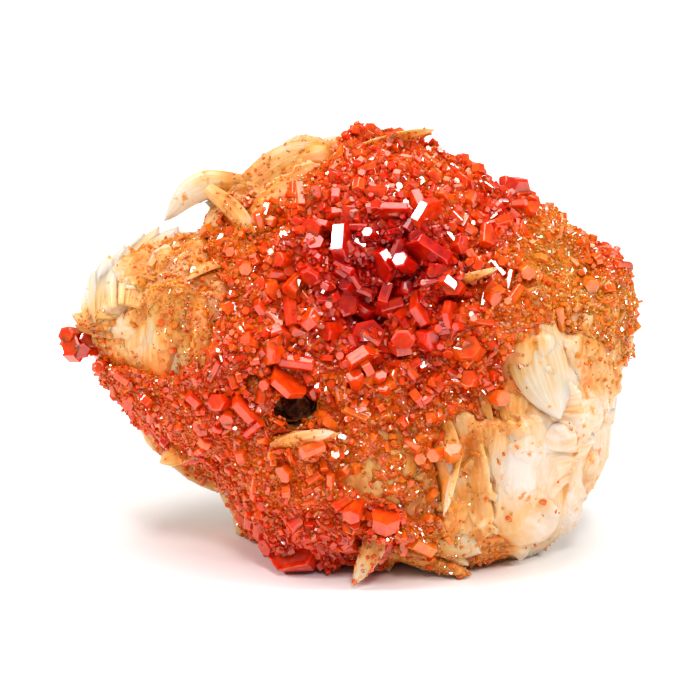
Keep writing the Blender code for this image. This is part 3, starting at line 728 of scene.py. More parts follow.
hollow_place = np.hypot(places[:, 0] - HOLLOW[0], places[:, 1] - HOLLOW[1])
in_hollow = (hollow_place < HOLLOW_REACH) & (places[:, 2] > 2)
height = np.where(in_hollow, 0.0, height * np.clip(1.15 - cover, 0, 1))
height = np.where(points[:, 2] < 0.6 * MM, 0.0, height)
moved = points + ways * (height * MM)[:, None]
hollow_floor = HOLLOW_FLOOR + 2.4 * lumpy(points, 1.1, 3.3)
raised = np.where(in_hollow, np.clip(hollow_floor - places[:, 2], 0, None), 0.0)
moved += raised[:, None] * np.array(OUT) * MM
moved[:, 2] = np.maximum(moved[:, 2], 0.0)
lump.data.vertices.foreach_set("co", moved.ravel())
lump.data.update()
bm = bmesh.new()
bm.from_mesh(lump.data)
for number in range(SMOOTHINGS):
    soft = [v for v in bm.verts if v.co.z > 1 * MM and (number == 0 or facing[v.index] > FACES_OUT)]
    bmesh.ops.smooth_vert(bm, verts=soft, factor=0.5, use_axis_x=True, use_axis_y=True, use_axis_z=True)
bm.to_mesh(lump.data)
bm.free()
print("points in the hollow:", int(in_hollow.sum()))

# %% [markdown]
# The baryte's material and the strewn crystals need to know more than the place: where a point is along its
# blade, how much dust it has, how dark the hollow is painted there as shade, and how many small crystals may
# sit on it. Those numbers are kept on the mesh as attributes, so they stay with the surface.

# %% What the lump tells its material
def crystals_on_baryte(covered, spared, clustered, at_places):
    """How densely small crystals sit on baryte, 0 to 1: most near the crust, and gathered in clusters."""
    gathered = np.clip(lumpy(at_places, 2.5, 9.0) - 0.14, 0, 1)
    return np.clip(1.2 * covered - spared + clustered * gathered, 0, 1) ** 1.7


grain_depth = (inside * ways).sum(axis=1)
store(lump, "grain_place", np.stack([run * MM, thick * MM, grain_depth], axis=1) + nearest[:, None] * 0.37)
store(lump, "tint", page_own * 0.25 - 0.05)
edge_dust = np.clip(cover * 1.5, 0, 1) * 0.8 + 0.02 * front
# the low creases between the blades are made darker and more speckled as well
dust_and_creases = edge_dust + 0.45 * crease + 0.3 * lumpy(points, 5.0, 2.2) * front
store(lump, "dust", np.clip(dust_and_creases, 0, 1))
# painted shade: in the hollow the baryte is painted darker brown the deeper a point lies
deep = np.clip((16.5 - places[:, 2]) / 5, 0, 1)
store(lump, "painted_hollow_shade", np.where(in_hollow, deep, 0.0) * 0.85)
store(lump, "sprinkle", crystals_on_baryte(cover, 0.06, 0.7, points) * front)
store(lump, "redness", np.clip(0.75 * redness, 0.06, 0.4))
lump.data.materials.clear()
lump.data.materials.append(cream_baryte)
lump.data.shade_smooth()
print("baryte lump:", triangles(lump), "triangles")

# %% [markdown]
# ## One way to strew small things
# The crust holds thousands of crystals. Placing them one by one would be slow, and particles don't survive
# an export, so Geometry Nodes drop points on the carrier, put a shape on each, and turn the result into
# plain mesh. The carrier's own numbers steer how dense they lie.
#
# First comes the way each one stands. Real druse glitters, because some of its thousands of faces happen to
# mirror a lamp. So most crystals lean at random off the bed, and a share of them is turned to flash.

# %% How a strewn crystal stands
FLASH_WAY = towards(0.0, 0.3, 0.9)  # halfway between the camera and the lamps in front
FLASH_SPREAD = 0.44  # how far that leans aside for the lamps on the left and the right
FLASH_LOOSE = Vector((0.06, 0.06, 0.06))


def standing(tree, upright, tilt, flashing, axis, seed):
    """Leans what stands upright by up to tilt degrees, and turns a share of it to the lamps."""
    most = Vector((math.radians(tilt), math.radians(tilt), math.pi))
    turn = node(
        tree, "FunctionNodeRandomValue", {0: -most, 1: most, "Seed": seed + 1}, data_type="FLOAT_VECTOR"
    )
    turn = node(tree, "FunctionNodeEulerToRotation", {0: turn.outputs[0]})
    leaning = node(
        tree, "FunctionNodeRotateRotation", {0: upright, 1: turn.outputs[0]}, rotation_space="LOCAL"
    )
    lamp = node(tree, "FunctionNodeRandomValue", {4: -1, 5: 1, "Seed": seed + 6}, data_type="INT")
    lamp = node(tree, "ShaderNodeMath", {0: lamp.outputs[2], 1: FLASH_SPREAD}, operation="MULTIPLY")
    lamp = node(tree, "ShaderNodeCombineXYZ", {0: lamp.outputs[0]})
    near = node(
        tree, "FunctionNodeRandomValue",
        {0: FLASH_WAY - FLASH_LOOSE, 1: FLASH_WAY + FLASH_LOOSE, "Seed": seed + 7}, data_type="FLOAT_VECTOR",
    )
    flash = node(tree, "ShaderNodeVectorMath", {0: lamp.outputs[0], 1: near.outputs[0]}, operation="ADD")
    flash = node(
        tree, "FunctionNodeAlignRotationToVector",
        {"Rotation": leaning.outputs[0], "Vector": flash.outputs[0]}, axis=axis,
    )
    chosen = node(
        tree, "FunctionNodeRandomValue", {"Probability": flashing, "Seed": seed + 8}, data_type="BOOLEAN"
    )
    stand = node(
        tree, "GeometryNodeSwitch",
        {"Switch": chosen.outputs[3], "False": leaning.outputs[0], "True": flash.outputs[0]},
        input_type="ROTATION",
    )
    return stand.outputs[0]


print("flashing faces look along", [round(c, 2) for c in FLASH_WAY])

# %% [markdown]
# Next comes the size. In a druse small crystals are many and large ones few. A random number raised to a
# power gives just that, and a second one makes some prisms longer than others of their width.

# %% How large a strewn crystal is
FEW_LARGE = 1.8  # the power that makes most crystals small
LENGTHS = (0.7, 1.3)  # against the length of the habit


def scaling(tree, sizes, seed):
    """A scale between the two sizes for each crystal, with a length of its own."""
    size = node(tree, "FunctionNodeRandomValue", {2: 0.0, 3: 1.0, "Seed": seed + 2}, data_type="FLOAT")
    size = node(tree, "ShaderNodeMath", {0: size.outputs[1], 1: FEW_LARGE}, operation="POWER")
    size = node(
        tree, "ShaderNodeMath", {0: size.outputs[0], 1: sizes[1] - sizes[0], 2: sizes[0]},
        operation="MULTIPLY_ADD",
    )
    longer = node(
        tree, "FunctionNodeRandomValue", {2: LENGTHS[0], 3: LENGTHS[1], "Seed": seed + 3}, data_type="FLOAT"
    )
    longer = node(tree, "ShaderNodeMath", {0: size.outputs[0], 1: longer.outputs[1]}, operation="MULTIPLY")
    scale = node(
        tree, "ShaderNodeCombineXYZ", {0: size.outputs[0], 1: size.outputs[0], 2: longer.outputs[0]}
    )
    return scale.outputs[0]


print("longest against shortest:", round(LENGTHS[1] / LENGTHS[0], 2))

# %% [markdown]
# The whole tree drops the points with a least distance between them, places the shapes, and stores a random
# tint with each, so that no two neighbours have quite the same red. Realizing the instances makes one plain
# mesh of them all.

# %% Strewing
TO_SQUARE_METRES = 1e6


def strewing_tree(name, cupboard, *, factor, apart, crowd, sizes, tilt, seed, flashing, axis):
    """The nodes that put the cupboard's shapes on whatever mesh they are given."""
    tree = bpy.data.node_groups.new(name, "GeometryNodeTree")
    tree.interface.new_socket("Geometry", in_out="INPUT", socket_type="NodeSocketGeometry")
    tree.interface.new_socket("Geometry", in_out="OUTPUT", socket_type="NodeSocketGeometry")
    carrier = node(tree, "NodeGroupInput")
    thin = node(tree, "GeometryNodeInputNamedAttribute", {"Name": factor}, data_type="FLOAT")
    points = node(
        tree, "GeometryNodeDistributePointsOnFaces",
        {"Mesh": carrier.outputs[0], "Distance Min": apart * MM, "Density Max": crowd * TO_SQUARE_METRES,
         "Density Factor": thin.outputs[0], "Seed": seed},
        distribute_method="POISSON",
    )
    shapes = node(
        tree, "GeometryNodeCollectionInfo",
        {"Collection": cupboard, "Separate Children": True, "Reset Children": True},
    )
    last = len(cupboard.objects) - 1
    pick = node(tree, "FunctionNodeRandomValue", {4: 0, 5: last, "Seed": seed + 4}, data_type="INT")
    strewn = node(
        tree, "GeometryNodeInstanceOnPoints",
        {"Points": points.outputs[0], "Instance": shapes.outputs[0], "Pick Instance": True,
         "Instance Index": pick.outputs[2], "Scale": scaling(tree, sizes, seed),
         "Rotation": standing(tree, points.outputs["Rotation"], tilt, flashing, axis, seed)},
    )
    own = node(tree, "FunctionNodeRandomValue", {2: 0.0, 3: 1.0, "Seed": seed + 5}, data_type="FLOAT")
    tinted = node(
        tree, "GeometryNodeStoreNamedAttribute",
        {"Geometry": strewn.outputs[0], "Name": "tint", "Value": own.outputs[1]},
        data_type="FLOAT", domain="INSTANCE",
    )
    plain = node(tree, "GeometryNodeRealizeInstances", {"Geometry": tinted.outputs[0]})
    node(tree, "NodeGroupOutput", {0: plain.outputs[0]})
    return tree


print("one tree of nodes strews every size")

# %% [markdown]
# One call of the next function strews one size of crystal. It lends its shapes to the tree, settles the
# result into plain mesh, cuts it off at the table and gives it its material.

# %% One call for each size
def scatter(name, carrier, shapes, material, **how):
    """Strews shapes over a carrier and returns them as one plain mesh.

    factor names the carrier's attribute that thins them out. apart is their least distance in mm, crowd how
    many to a square mm at most, sizes their smallest and largest scale and tilt their lean in degrees.
    flashing is the share of them that turns a face to a lamp: an end if axis is Z, a side if it is X.
    """
    cupboard = bpy.data.collections.new(name + "_shapes")
    for shape in shapes:
        cupboard.objects.link(shape)
        if shape.name in root.objects:
            root.objects.unlink(shape)
    tree = strewing_tree(name, cupboard, **how)
    made = bpy.data.objects.new(name, carrier.data.copy())
    root.objects.link(made)
    made.modifiers.new("strewn", "NODES").node_group = tree
    settle(made)
    keep_above_table(made)
    made.data.materials.clear()
    made.data.materials.append(material)
    made.data.shade_flat()
    for shape in shapes:
        cupboard.objects.unlink(shape)
    bpy.data.collections.remove(cupboard)
    bpy.data.node_groups.remove(tree)
    print(f"{name}: {triangles(made)} triangles")
    return made


print("ready to strew")

# %% [markdown]
# ## Single blades of baryte
# Some blades stand free of the lump: a hooked one at the upper left, a fan of them along the left outline, a
# broad one on the right and two at the foot. Others lie on it, and break up its surface. Each is thin, with
# a sharp rim, fine growth lines along it and a soft bow. A curve with a bevel would give it a round section,
# so a grid is made instead: narrowed to a leaf, given a thickness that fades to the rim, combed with fine
# grooves, and laid from its root to its tip.

# %% Places of the single blades
# (root: across, up, stand), (tip: the same), bow sideways, width, thickness, turn in degrees; else in mm
FRONT_BLADES = (
    ((-13.5, 21.2, 0.8), (-23.8, 16.8, 4.2), -2.2, 3.8, 1.2, 5),
    ((-18.2, 20.6, 2.4), (-11.8, 13.8, 1.6), 0.6, 2.6, 1.0, 20),
    ((-16.4, 17.4, 1.0), (-12.6, 13.2, 1.4), 0.3, 1.4, 0.8, 40),
    ((-29.6, 4.6, 1.2), (-24.9, 15.8, 2.2), 0.8, 5.0, 1.0, -15),
    ((-30.4, 4.6, 1.4), (-26.8, 15.0, 2.2), 0.8, 4.6, 1.0, -25),
    ((-27.0, 5.6, 1.0), (-22.4, 15.9, 1.8), 0.6, 5.6, 1.0, -5),
    ((-31.2, 4.2, 1.6), (-29.2, 13.4, 2.4), 0.5, 4.4, 0.9, -20),
    ((-31.8, 4.2, 1.8), (-31.4, 12.4, 2.6), 0.3, 3.8, 0.9, -30),
    ((-32.4, 3.6, 2.0), (-33.2, 10.2, 2.8), -0.3, 3.4, 0.9, -10),
    ((-29.0, 6.0, 2.6), (-28.2, 12.6, 3.6), 0.2, 1.8, 0.6, 10),
    ((-30.4, 5.6, 2.6), (-30.6, 11.2, 3.6), 0.2, 1.6, 0.6, -10),
    ((-33.0, 3.4, 2.2), (-33.9, 7.8, 3.0), -0.3, 3.2, 1.0, 0),
    ((-31.0, 3.4, 1.8), (-36.0, 4.6, 2.8), 0.3, 2.2, 0.8, 10),
    ((-30.6, 2.0, 1.8), (-35.6, 3.2, 2.4), -0.2, 1.8, 0.7, 0),
    ((-29.0, 0.8, 1.6), (-34.2, 1.4, 2.0), 0.2, 1.8, 0.7, -20),
    ((-26.4, 8.0, 1.0), (-27.6, -3.6, 0.8), 0.6, 7.4, 1.2, 12),
    ((-23.2, 8.0, 0.9), (-22.4, -5.6, 0.8), 0.6, 8.0, 1.4, 14),
    ((-20.0, 7.0, 0.9), (-18.6, -4.6, 0.8), 0.5, 7.4, 1.2, 16),
    ((-29.4, 3.0, 1.0), (-27.6, -5.0, 0.9), 0.8, 3.0, 0.9, 20),
    ((-14.6, 11.2, 1.4), (-20.6, 9.0, 2.0), -0.8, 1.6, 0.9, 40),
    ((-14.8, 16.6, 1.2), (-1.6, 25.4, 1.5), 0.8, 8.6, 1.2, 12),
    ((2.0, 26.0, 2.1), (10.6, 28.2, 3.6), 0.3, 2.9, 1.4, 60),
    ((22.4, 7.4, 1.4), (26.6, -8.4, 2.4), -0.9, 7.4, 1.4, -10),
    ((9.5, 7.0, -0.3), (18.4, 10.2, 3.2), 0.4, 3.0, 1.3, 65),
    ((14.0, -16.4, 0.6), (24.2, -23.2, 1.3), 0.9, 5.6, 1.2, 12),
    ((13.2, -19.0, 0.6), (21.6, -25.4, 1.3), 0.7, 5.0, 1.1, 16),
    ((15.4, -14.0, 0.5), (25.4, -20.4, 1.1), 0.9, 5.6, 1.2, 14),
    ((16.4, -5.0, 0.9), (17.4, -13.8, 1.1), 0.4, 3.0, 1.0, 40),
    ((18.8, -6.4, 0.9), (20.4, -13.6, 1.1), 0.4, 2.6, 1.0, 50),
    ((13.9, -12.6, 1.8), (11.9, -20.8, 2.4), 0.2, 1.9, 1.0, 60),
    ((12.0, -9.0, 1.0), (13.0, -16.0, 1.2), 0.4, 2.6, 0.9, 30),
    ((3.2, -22.5, 0.7), (0.4, -30.0, 10.5), 0.4, 2.4, 1.2, 25),
    ((5.0, -24.6, 0.6), (15.0, -27.6, 4.4), 0.4, 5.2, 1.4, 40),
    ((7.0, -22.6, 0.8), (16.6, -26.0, 2.2), 0.4, 5.4, 1.2, 20),
    ((-9.6, -12.4, 0.6), (-2.2, -10.4, 2.8), 0.4, 2.4, 1.2, 40),
    ((-12.6, -3.6, 1.1), (-11.3, -8.2, 2.1), 0.3, 2.2, 1.0, 20),
    ((-11.0, -3.8, 1.6), (-8.8, -8.4, 2.2), 0.2, 2.0, 0.8, 40),
    ((-19.5, -12.0, 0.2), (-24.4, -14.4, 3.0), 0.2, 2.6, 1.2, 10),
    ((0.0, -10.0, 0.8), (2.4, -18.5, 0.8), 0.3, 2.8, 0.6, 12),
    ((6.0, -10.0, 0.8), (8.4, -19.0, 0.8), 0.3, 3.2, 0.6, 12),
    ((10.0, -12.0, 0.8), (7.4, -21.0, 0.8), -0.3, 3.2, 0.6, -12),
    ((3.6, -12.0, 0.8), (4.6, -20.0, 1.0), 0.2, 3.0, 0.6, 10),
    ((-4.6, -13.0, 0.8), (-3.4, -19.6, 1.0), 0.2, 2.6, 0.6, 20),
    ((8.6, -16.0, 0.9), (12.6, -24.0, 1.1), 0.3, 3.0, 0.9, 20),
)
BACK_BLADES = (
    ((-22.0, 4.0, 0.4), (-4.0, 14.0, 1.2), 1.0, 12.4, 3.3, 15),
    ((-18.0, -8.0, 0.2), (4.0, 3.0, 1.4), 1.0, 12.4, 3.5, -15),
    ((0.0, -16.0, 0.6), (20.0, -3.0, 1.0), 1.0, 12.4, 3.5, 14),
    ((6.0, 4.0, 0.8), (27.0, 9.0, 0.8), 1.0, 11.4, 3.3, -16),
    ((-6.0, 16.0, 0.4), (12.0, 23.0, 0.8), 0.8, 11.4, 3.3, 12),
    ((-14.0, -20.0, 0.6), (2.0, -12.0, 1.0), 0.8, 10.4, 3.3, 10),
    ((14.0, -16.0, 0.6), (28.0, -4.0, 0.8), 0.8, 9.4, 3.1, -14),
)

print(len(FRONT_BLADES), "blades in front,", len(BACK_BLADES), "behind")

# %% [markdown]
# One blade is made flat and at the origin first, where its length, width and thickness are plain numbers, and
# is carried to its place last. Its two ends are found on the rock, so it always starts and ends there.

# %% Making one blade
BLADE_CELLS = (16, 18)  # along and across
BLADE_THINNING = 0.5  # of the thickness given, which is what is left of it at the middle
BLADE_SINK = 0.4  # mm that it lies in the rock, so that it looks grown and not laid down
FREE_STAND = 2.0  # mm over the rock from where it isn't sunk


def laid_blade(root_place, tip_place, bow, width, thickness, turn, out, rng):
    """One blade in its place, as a mesh, and where each of its vertices is along and across it."""
    start, end = (
        on_surface(rock_tree, across, up, stand - (BLADE_SINK if stand < FREE_STAND else 0.0), out)
        for across, up, stand in (root_place, tip_place)
    )
    length = (end - start).length
    along = (end - start).normalized()
    side = Matrix.Rotation(math.radians(turn), 3, along) @ out.cross(along).normalized()
    bm = bmesh.new()
    bmesh.ops.create_grid(bm, x_segments=BLADE_CELLS[0], y_segments=BLADE_CELLS[1], size=0.5)
    bmesh.ops.solidify(bm, geom=bm.faces, thickness=thickness * MM)
    middle = sum(v.co.z for v in bm.verts) / len(bm.verts)
    grooves, blunt = rng.uniform(0, 9), rng.uniform(2.2, 3.6)
    places = []
    for vert in bm.verts:
        share, across = vert.co.x + 0.5, vert.co.y * 2
        wide = (0.62 + 0.85 * share) * (1 - share**blunt) + 0.05
        thin = (1 - 0.82 * across**2) * (1 - 0.6 * share**2)
        lines = 0.09 / width * math.sin(across * width * 3.1 + grooves + 0.8 * math.sin(share * 3))
        lines += 0.06 / width * math.sin(across * width * 7.3 + 2 * grooves)
        combed = lines * (1 - abs(across)) * min(1, thickness)
        upper = 1 if vert.co.z > middle else -1
        vert.co.x = (share * 1.04 - 0.02) * length
        vert.co.y = across * wide * width / 2 * MM + bow * MM * math.sin(math.pi * share)
        vert.co.z = upper * (thickness * BLADE_THINNING / 2 * thin + combed) * MM
        vert.co.z += 0.2 * MM * math.sin(math.pi * share) - 0.3 * across**2 * MM * width / 5
        places.append((share, across))
    stand = Matrix((along, side, along.cross(side))).transposed().to_4x4()
    bmesh.ops.transform(bm, matrix=Matrix.Translation(start) @ stand, verts=bm.verts)
    bmesh.ops.recalc_face_normals(bm, faces=bm.faces)
    mesh = bpy.data.meshes.new("blade")
    bm.to_mesh(mesh)
    bm.free()
    return mesh, np.array(places), length / MM


print("a blade is a grid of", BLADE_CELLS[0], "by", BLADE_CELLS[1], "cells")

# %% [markdown]
# All blades of one side become one mesh. Each gets a grain and a tint of its own. Its root is stained, for
# there it stands among the crystals, and its tip stays clean, for it grew out of their reach.

# %% Laying the single blades
CLEAR_OF_TABLE = 0.3 * MM
SHARPEST_SOFT = math.radians(50)  # the rims are sharper than that and stay hard


def lay_blades(name, rows, out, seed):
    """The blades of those rows as one mesh, with what the materials and the strewing need to know."""
    rng = random.Random(seed)
    whole = bmesh.new()
    grain, darkened, tints, tips = [], [], [], []
    for row in rows:
        mesh, places, length = laid_blade(*row, out, rng)
        whole.from_mesh(mesh)
        bpy.data.meshes.remove(mesh)
        share, across = places[:, 0], places[:, 1]
        width, lot = row[3], rng.random() * 4
        grain.append(np.stack([share * length * MM + lot, across * width / 2 * MM, share * 0 + lot], axis=1))
        darkened.append(0.3 - 0.5 * share + 0.1 * np.abs(across))
        tips.append(1 - 0.75 * share**2)
        tints.append(share * 0 + rng.uniform(0.0, 0.2))
    for vert in whole.verts:
        vert.co.z = max(vert.co.z, CLEAR_OF_TABLE)
    made = piece_of(whole, name, cream_baryte, smooth=True)
    made.data.set_sharp_from_angle(angle=SHARPEST_SOFT)
    blade_cover, blade_red, _ = zone_fields(places_of(made))
    facing_out = (normals_of(made) @ np.array(OUT) > 0) * (out == OUT)
    blade_cover = blade_cover * facing_out * np.concatenate(tips)
    store(made, "grain_place", np.concatenate(grain))
    store(made, "dust", np.clip(np.concatenate(darkened), 0, 1) + np.clip(0.9 * blade_cover, 0, 0.6))
    store(made, "tint", np.concatenate(tints))
    store(made, "sprinkle", crystals_on_baryte(blade_cover, 0.08, 0.5, places_of(made)) * facing_out)
    store(made, "redness", np.clip(0.8 * blade_red, 0.08, 0.45))
    print(f"{name}: {len(rows)} blades, {triangles(made)} triangles")
    return made


leaves = lay_blades("baryte_blades", FRONT_BLADES, OUT, 21)
back_leaves = lay_blades("baryte_back_blades", BACK_BLADES, -OUT, 22)
print("the blades are laid")

# %% [markdown]
# ## The crust's bed
# Between the crystals one sees more vanadinite, not bare rock: a thin uneven bed in which they all stand.
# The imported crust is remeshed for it, as the lump was.

# %% A fine skin for the bed
BED_VOXEL = 0.45 * MM

bed = merged_copy("vanadinite_crust", "vanadinite_bed")
remesh = bed.modifiers.new("fine skin", "REMESH")
remesh.mode = "VOXEL"
remesh.voxel_size = BED_VOXEL
settle(bed)
points = places_of(bed)
cover, redness, coarse = zone_fields(points)
print("skin of the bed:", len(points), "points")

# %% [markdown]
# Its blocks are pressed down to an even sheet on the rock, and lumps and ridges are raised on that. Where a
# zone has little cover it thins out to almost nothing, so the baryte shows through in patches.

# %% How thick the bed is
BED_LOW = 0.32  # mm over the rock where the crust has thinned out
BED_HIGH = 1.35  # mm over the rock where it is full
PATCH_COVER, PATCH_SOFTNESS = 0.34, 0.3  # where the bed starts, and how much more cover fills it

uneven = cover + 0.34 * lumpy(points, 3.2, 14.0) + 0.16 * lumpy(points, 1.3, 3.0)
patchy = np.clip((uneven - PATCH_COVER) / PATCH_SOFTNESS, 0, 1)
ridges = 1 - 2.4 * np.abs(lumpy(points, 5.5, 11.0))
lumps = 0.8 * lumpy(points, 2.4, 8.0) + 0.3 * lumpy(points, 1.1, 4.4) + 1.2 * ridges
thickness = BED_LOW + (BED_HIGH - BED_LOW + lumps * (0.4 + coarse)) * patchy
print("the bed is up to", round(float(thickness.max()), 2), "mm thick")

# %% [markdown]
# Each point of the skin looks for the nearest place on the rock. If it is on the top of the crust, it is set
# to its new height over that place. If it is on the underside, it stays where it is, inside the rock.

# %% Pressing the bed down
BED_TOP = 0.62  # mm off the rock, from where a point is on the top of the bed and not on its underside

foot = np.array([rock_tree.find_nearest(Vector(p))[0] for p in points])
away = np.linalg.norm(points - foot, axis=1) / MM
outside = away > BED_TOP
lift = (points - foot) / np.maximum(away, 1e-6)[:, None]
pressed = foot + lift * np.maximum(thickness, BED_LOW)[:, None]
pressed[:, 2] = np.maximum(pressed[:, 2], CLEAR_OF_TABLE)
bed.data.vertices.foreach_set("co", np.where(outside[:, None], pressed, points).ravel())
bed.data.update()
bed.data.materials.clear()
bed.data.materials.append(bed_red)
bed.data.shade_smooth()
print("bed:", triangles(bed), "triangles")

# %% [markdown]
# Three more attributes say how densely each size of crystal stands on the bed: the fine ones where the crust
# is fine, the next ones nearly everywhere, and the coarse ones on the ridges of the coarse zones.

# %% What the bed tells the crystals
store(bed, "redness", redness)
store(bed, "tint", 0.42 + 0.2 * lumpy(points, 1.5, 6.0))
for name, dense in (
    ("fine", patchy * (1.1 - 0.7 * coarse)),
    ("crowd", patchy * (0.15 + 1.1 * coarse)),
    ("coarse", coarse * patchy * (0.8 + 0.5 * ridges)),
):
    store(bed, name, np.where(outside, np.clip(dense, 0, 1), 0.0))
    print(f"{name}: dense on {round(100 * float((dense > 0.5).mean()))} % of the bed")

# %% [markdown]
# ## Small crystals
# Vanadinite grows as six-sided prisms and tablets with flat ends. A cone with six sides and equal radii is
# just that. Three habits are made: a tablet, a stout prism and a slim one. Thousands of them need to be
# light, so the smallest keep plain edges, and the middle sizes get a fine bevel that catches the light.

# %% Habits of vanadinite
def six_sided(bm, width, length, taper=1.0):
    """Adds one prism: width over its corners and length, in millimetres, about the origin."""
    bmesh.ops.create_cone(
        bm, cap_ends=True, segments=6, radius1=width / 2 * MM, radius2=width / 2 * taper * MM,
        depth=length * MM,
    )


def habit(name, width, length, bevel=0.0, taper=1.0):
    bm = bmesh.new()
    six_sided(bm, width, length, taper=taper)
    if bevel:
        bmesh.ops.bevel(
            bm, geom=bm.edges, offset=bevel * MM, affect="EDGES", segments=1, profile=0.5, material=-1
        )
    return piece_of(bm, name)


plain_habits = [
    habit("small_tablet", 1.1, 0.6),
    habit("small_stout", 0.9, 1.1, taper=0.92),
    habit("small_slim", 0.62, 1.5),
]
fine_habits = [
    habit("middle_tablet", 1.15, 0.55, 0.05),
    habit("middle_stout", 0.95, 1.1, 0.045),
    habit("middle_prism", 0.75, 1.5, 0.04, 0.94),
]
print("habits:", [shape.name for shape in plain_habits + fine_habits])

# %% [markdown]
# They are strewn from small to large: two sizes of druse on the bed, a dusting and a few loose ones on the
# bare baryte and its blades, and two sizes of well-made crystals where the crust is coarse. Their widths are
# the habit's, about 1 mm, times the size given.

# %% Strewing the small crystals
fine_druse = scatter(
    "vanadinite_fine_druse", bed, plain_habits, druse_red, factor="fine", apart=0.36, crowd=6.5,
    sizes=(0.3, 0.62), tilt=65, seed=41, flashing=0.26, axis="X",
)
coarse_druse = scatter(
    "vanadinite_coarse_druse", bed, plain_habits, druse_red, factor="crowd", apart=0.62, crowd=2.6,
    sizes=(0.55, 1.25), tilt=80, seed=51, flashing=0.22, axis="Z",
)
sprinkle = scatter(
    "vanadinite_sprinkle", lump, plain_habits, druse_red, factor="sprinkle", apart=0.33, crowd=3.6,
    sizes=(0.2, 0.5), tilt=60, seed=61, flashing=0.2, axis="X",
)
dusting = scatter(
    "vanadinite_dusting", leaves, plain_habits, druse_red, factor="sprinkle", apart=0.28, crowd=6.0,
    sizes=(0.2, 0.5), tilt=60, seed=71, flashing=0.2, axis="Z",
)
loose = scatter(
    "vanadinite_loose", lump, plain_habits, druse_red, factor="sprinkle", apart=0.95, crowd=0.9,
    sizes=(0.5, 1.15), tilt=70, seed=66, flashing=0.15, axis="Z",
)
middle = scatter(
    "vanadinite_middle", bed, fine_habits, tablet_red, factor="coarse", apart=0.85, crowd=1.5,
    sizes=(0.7, 1.8), tilt=88, seed=81, flashing=0.12, axis="X",
)
stout = scatter(
    "vanadinite_stout", bed, fine_habits, tablet_red, factor="coarse", apart=2.4, crowd=0.2,
    sizes=(1.6, 2.7), tilt=88, seed=91, flashing=0.04, axis="Z",
)
for shape in plain_habits + fine_habits:
    bpy.data.objects.remove(shape)
print("the small crystals are strewn")
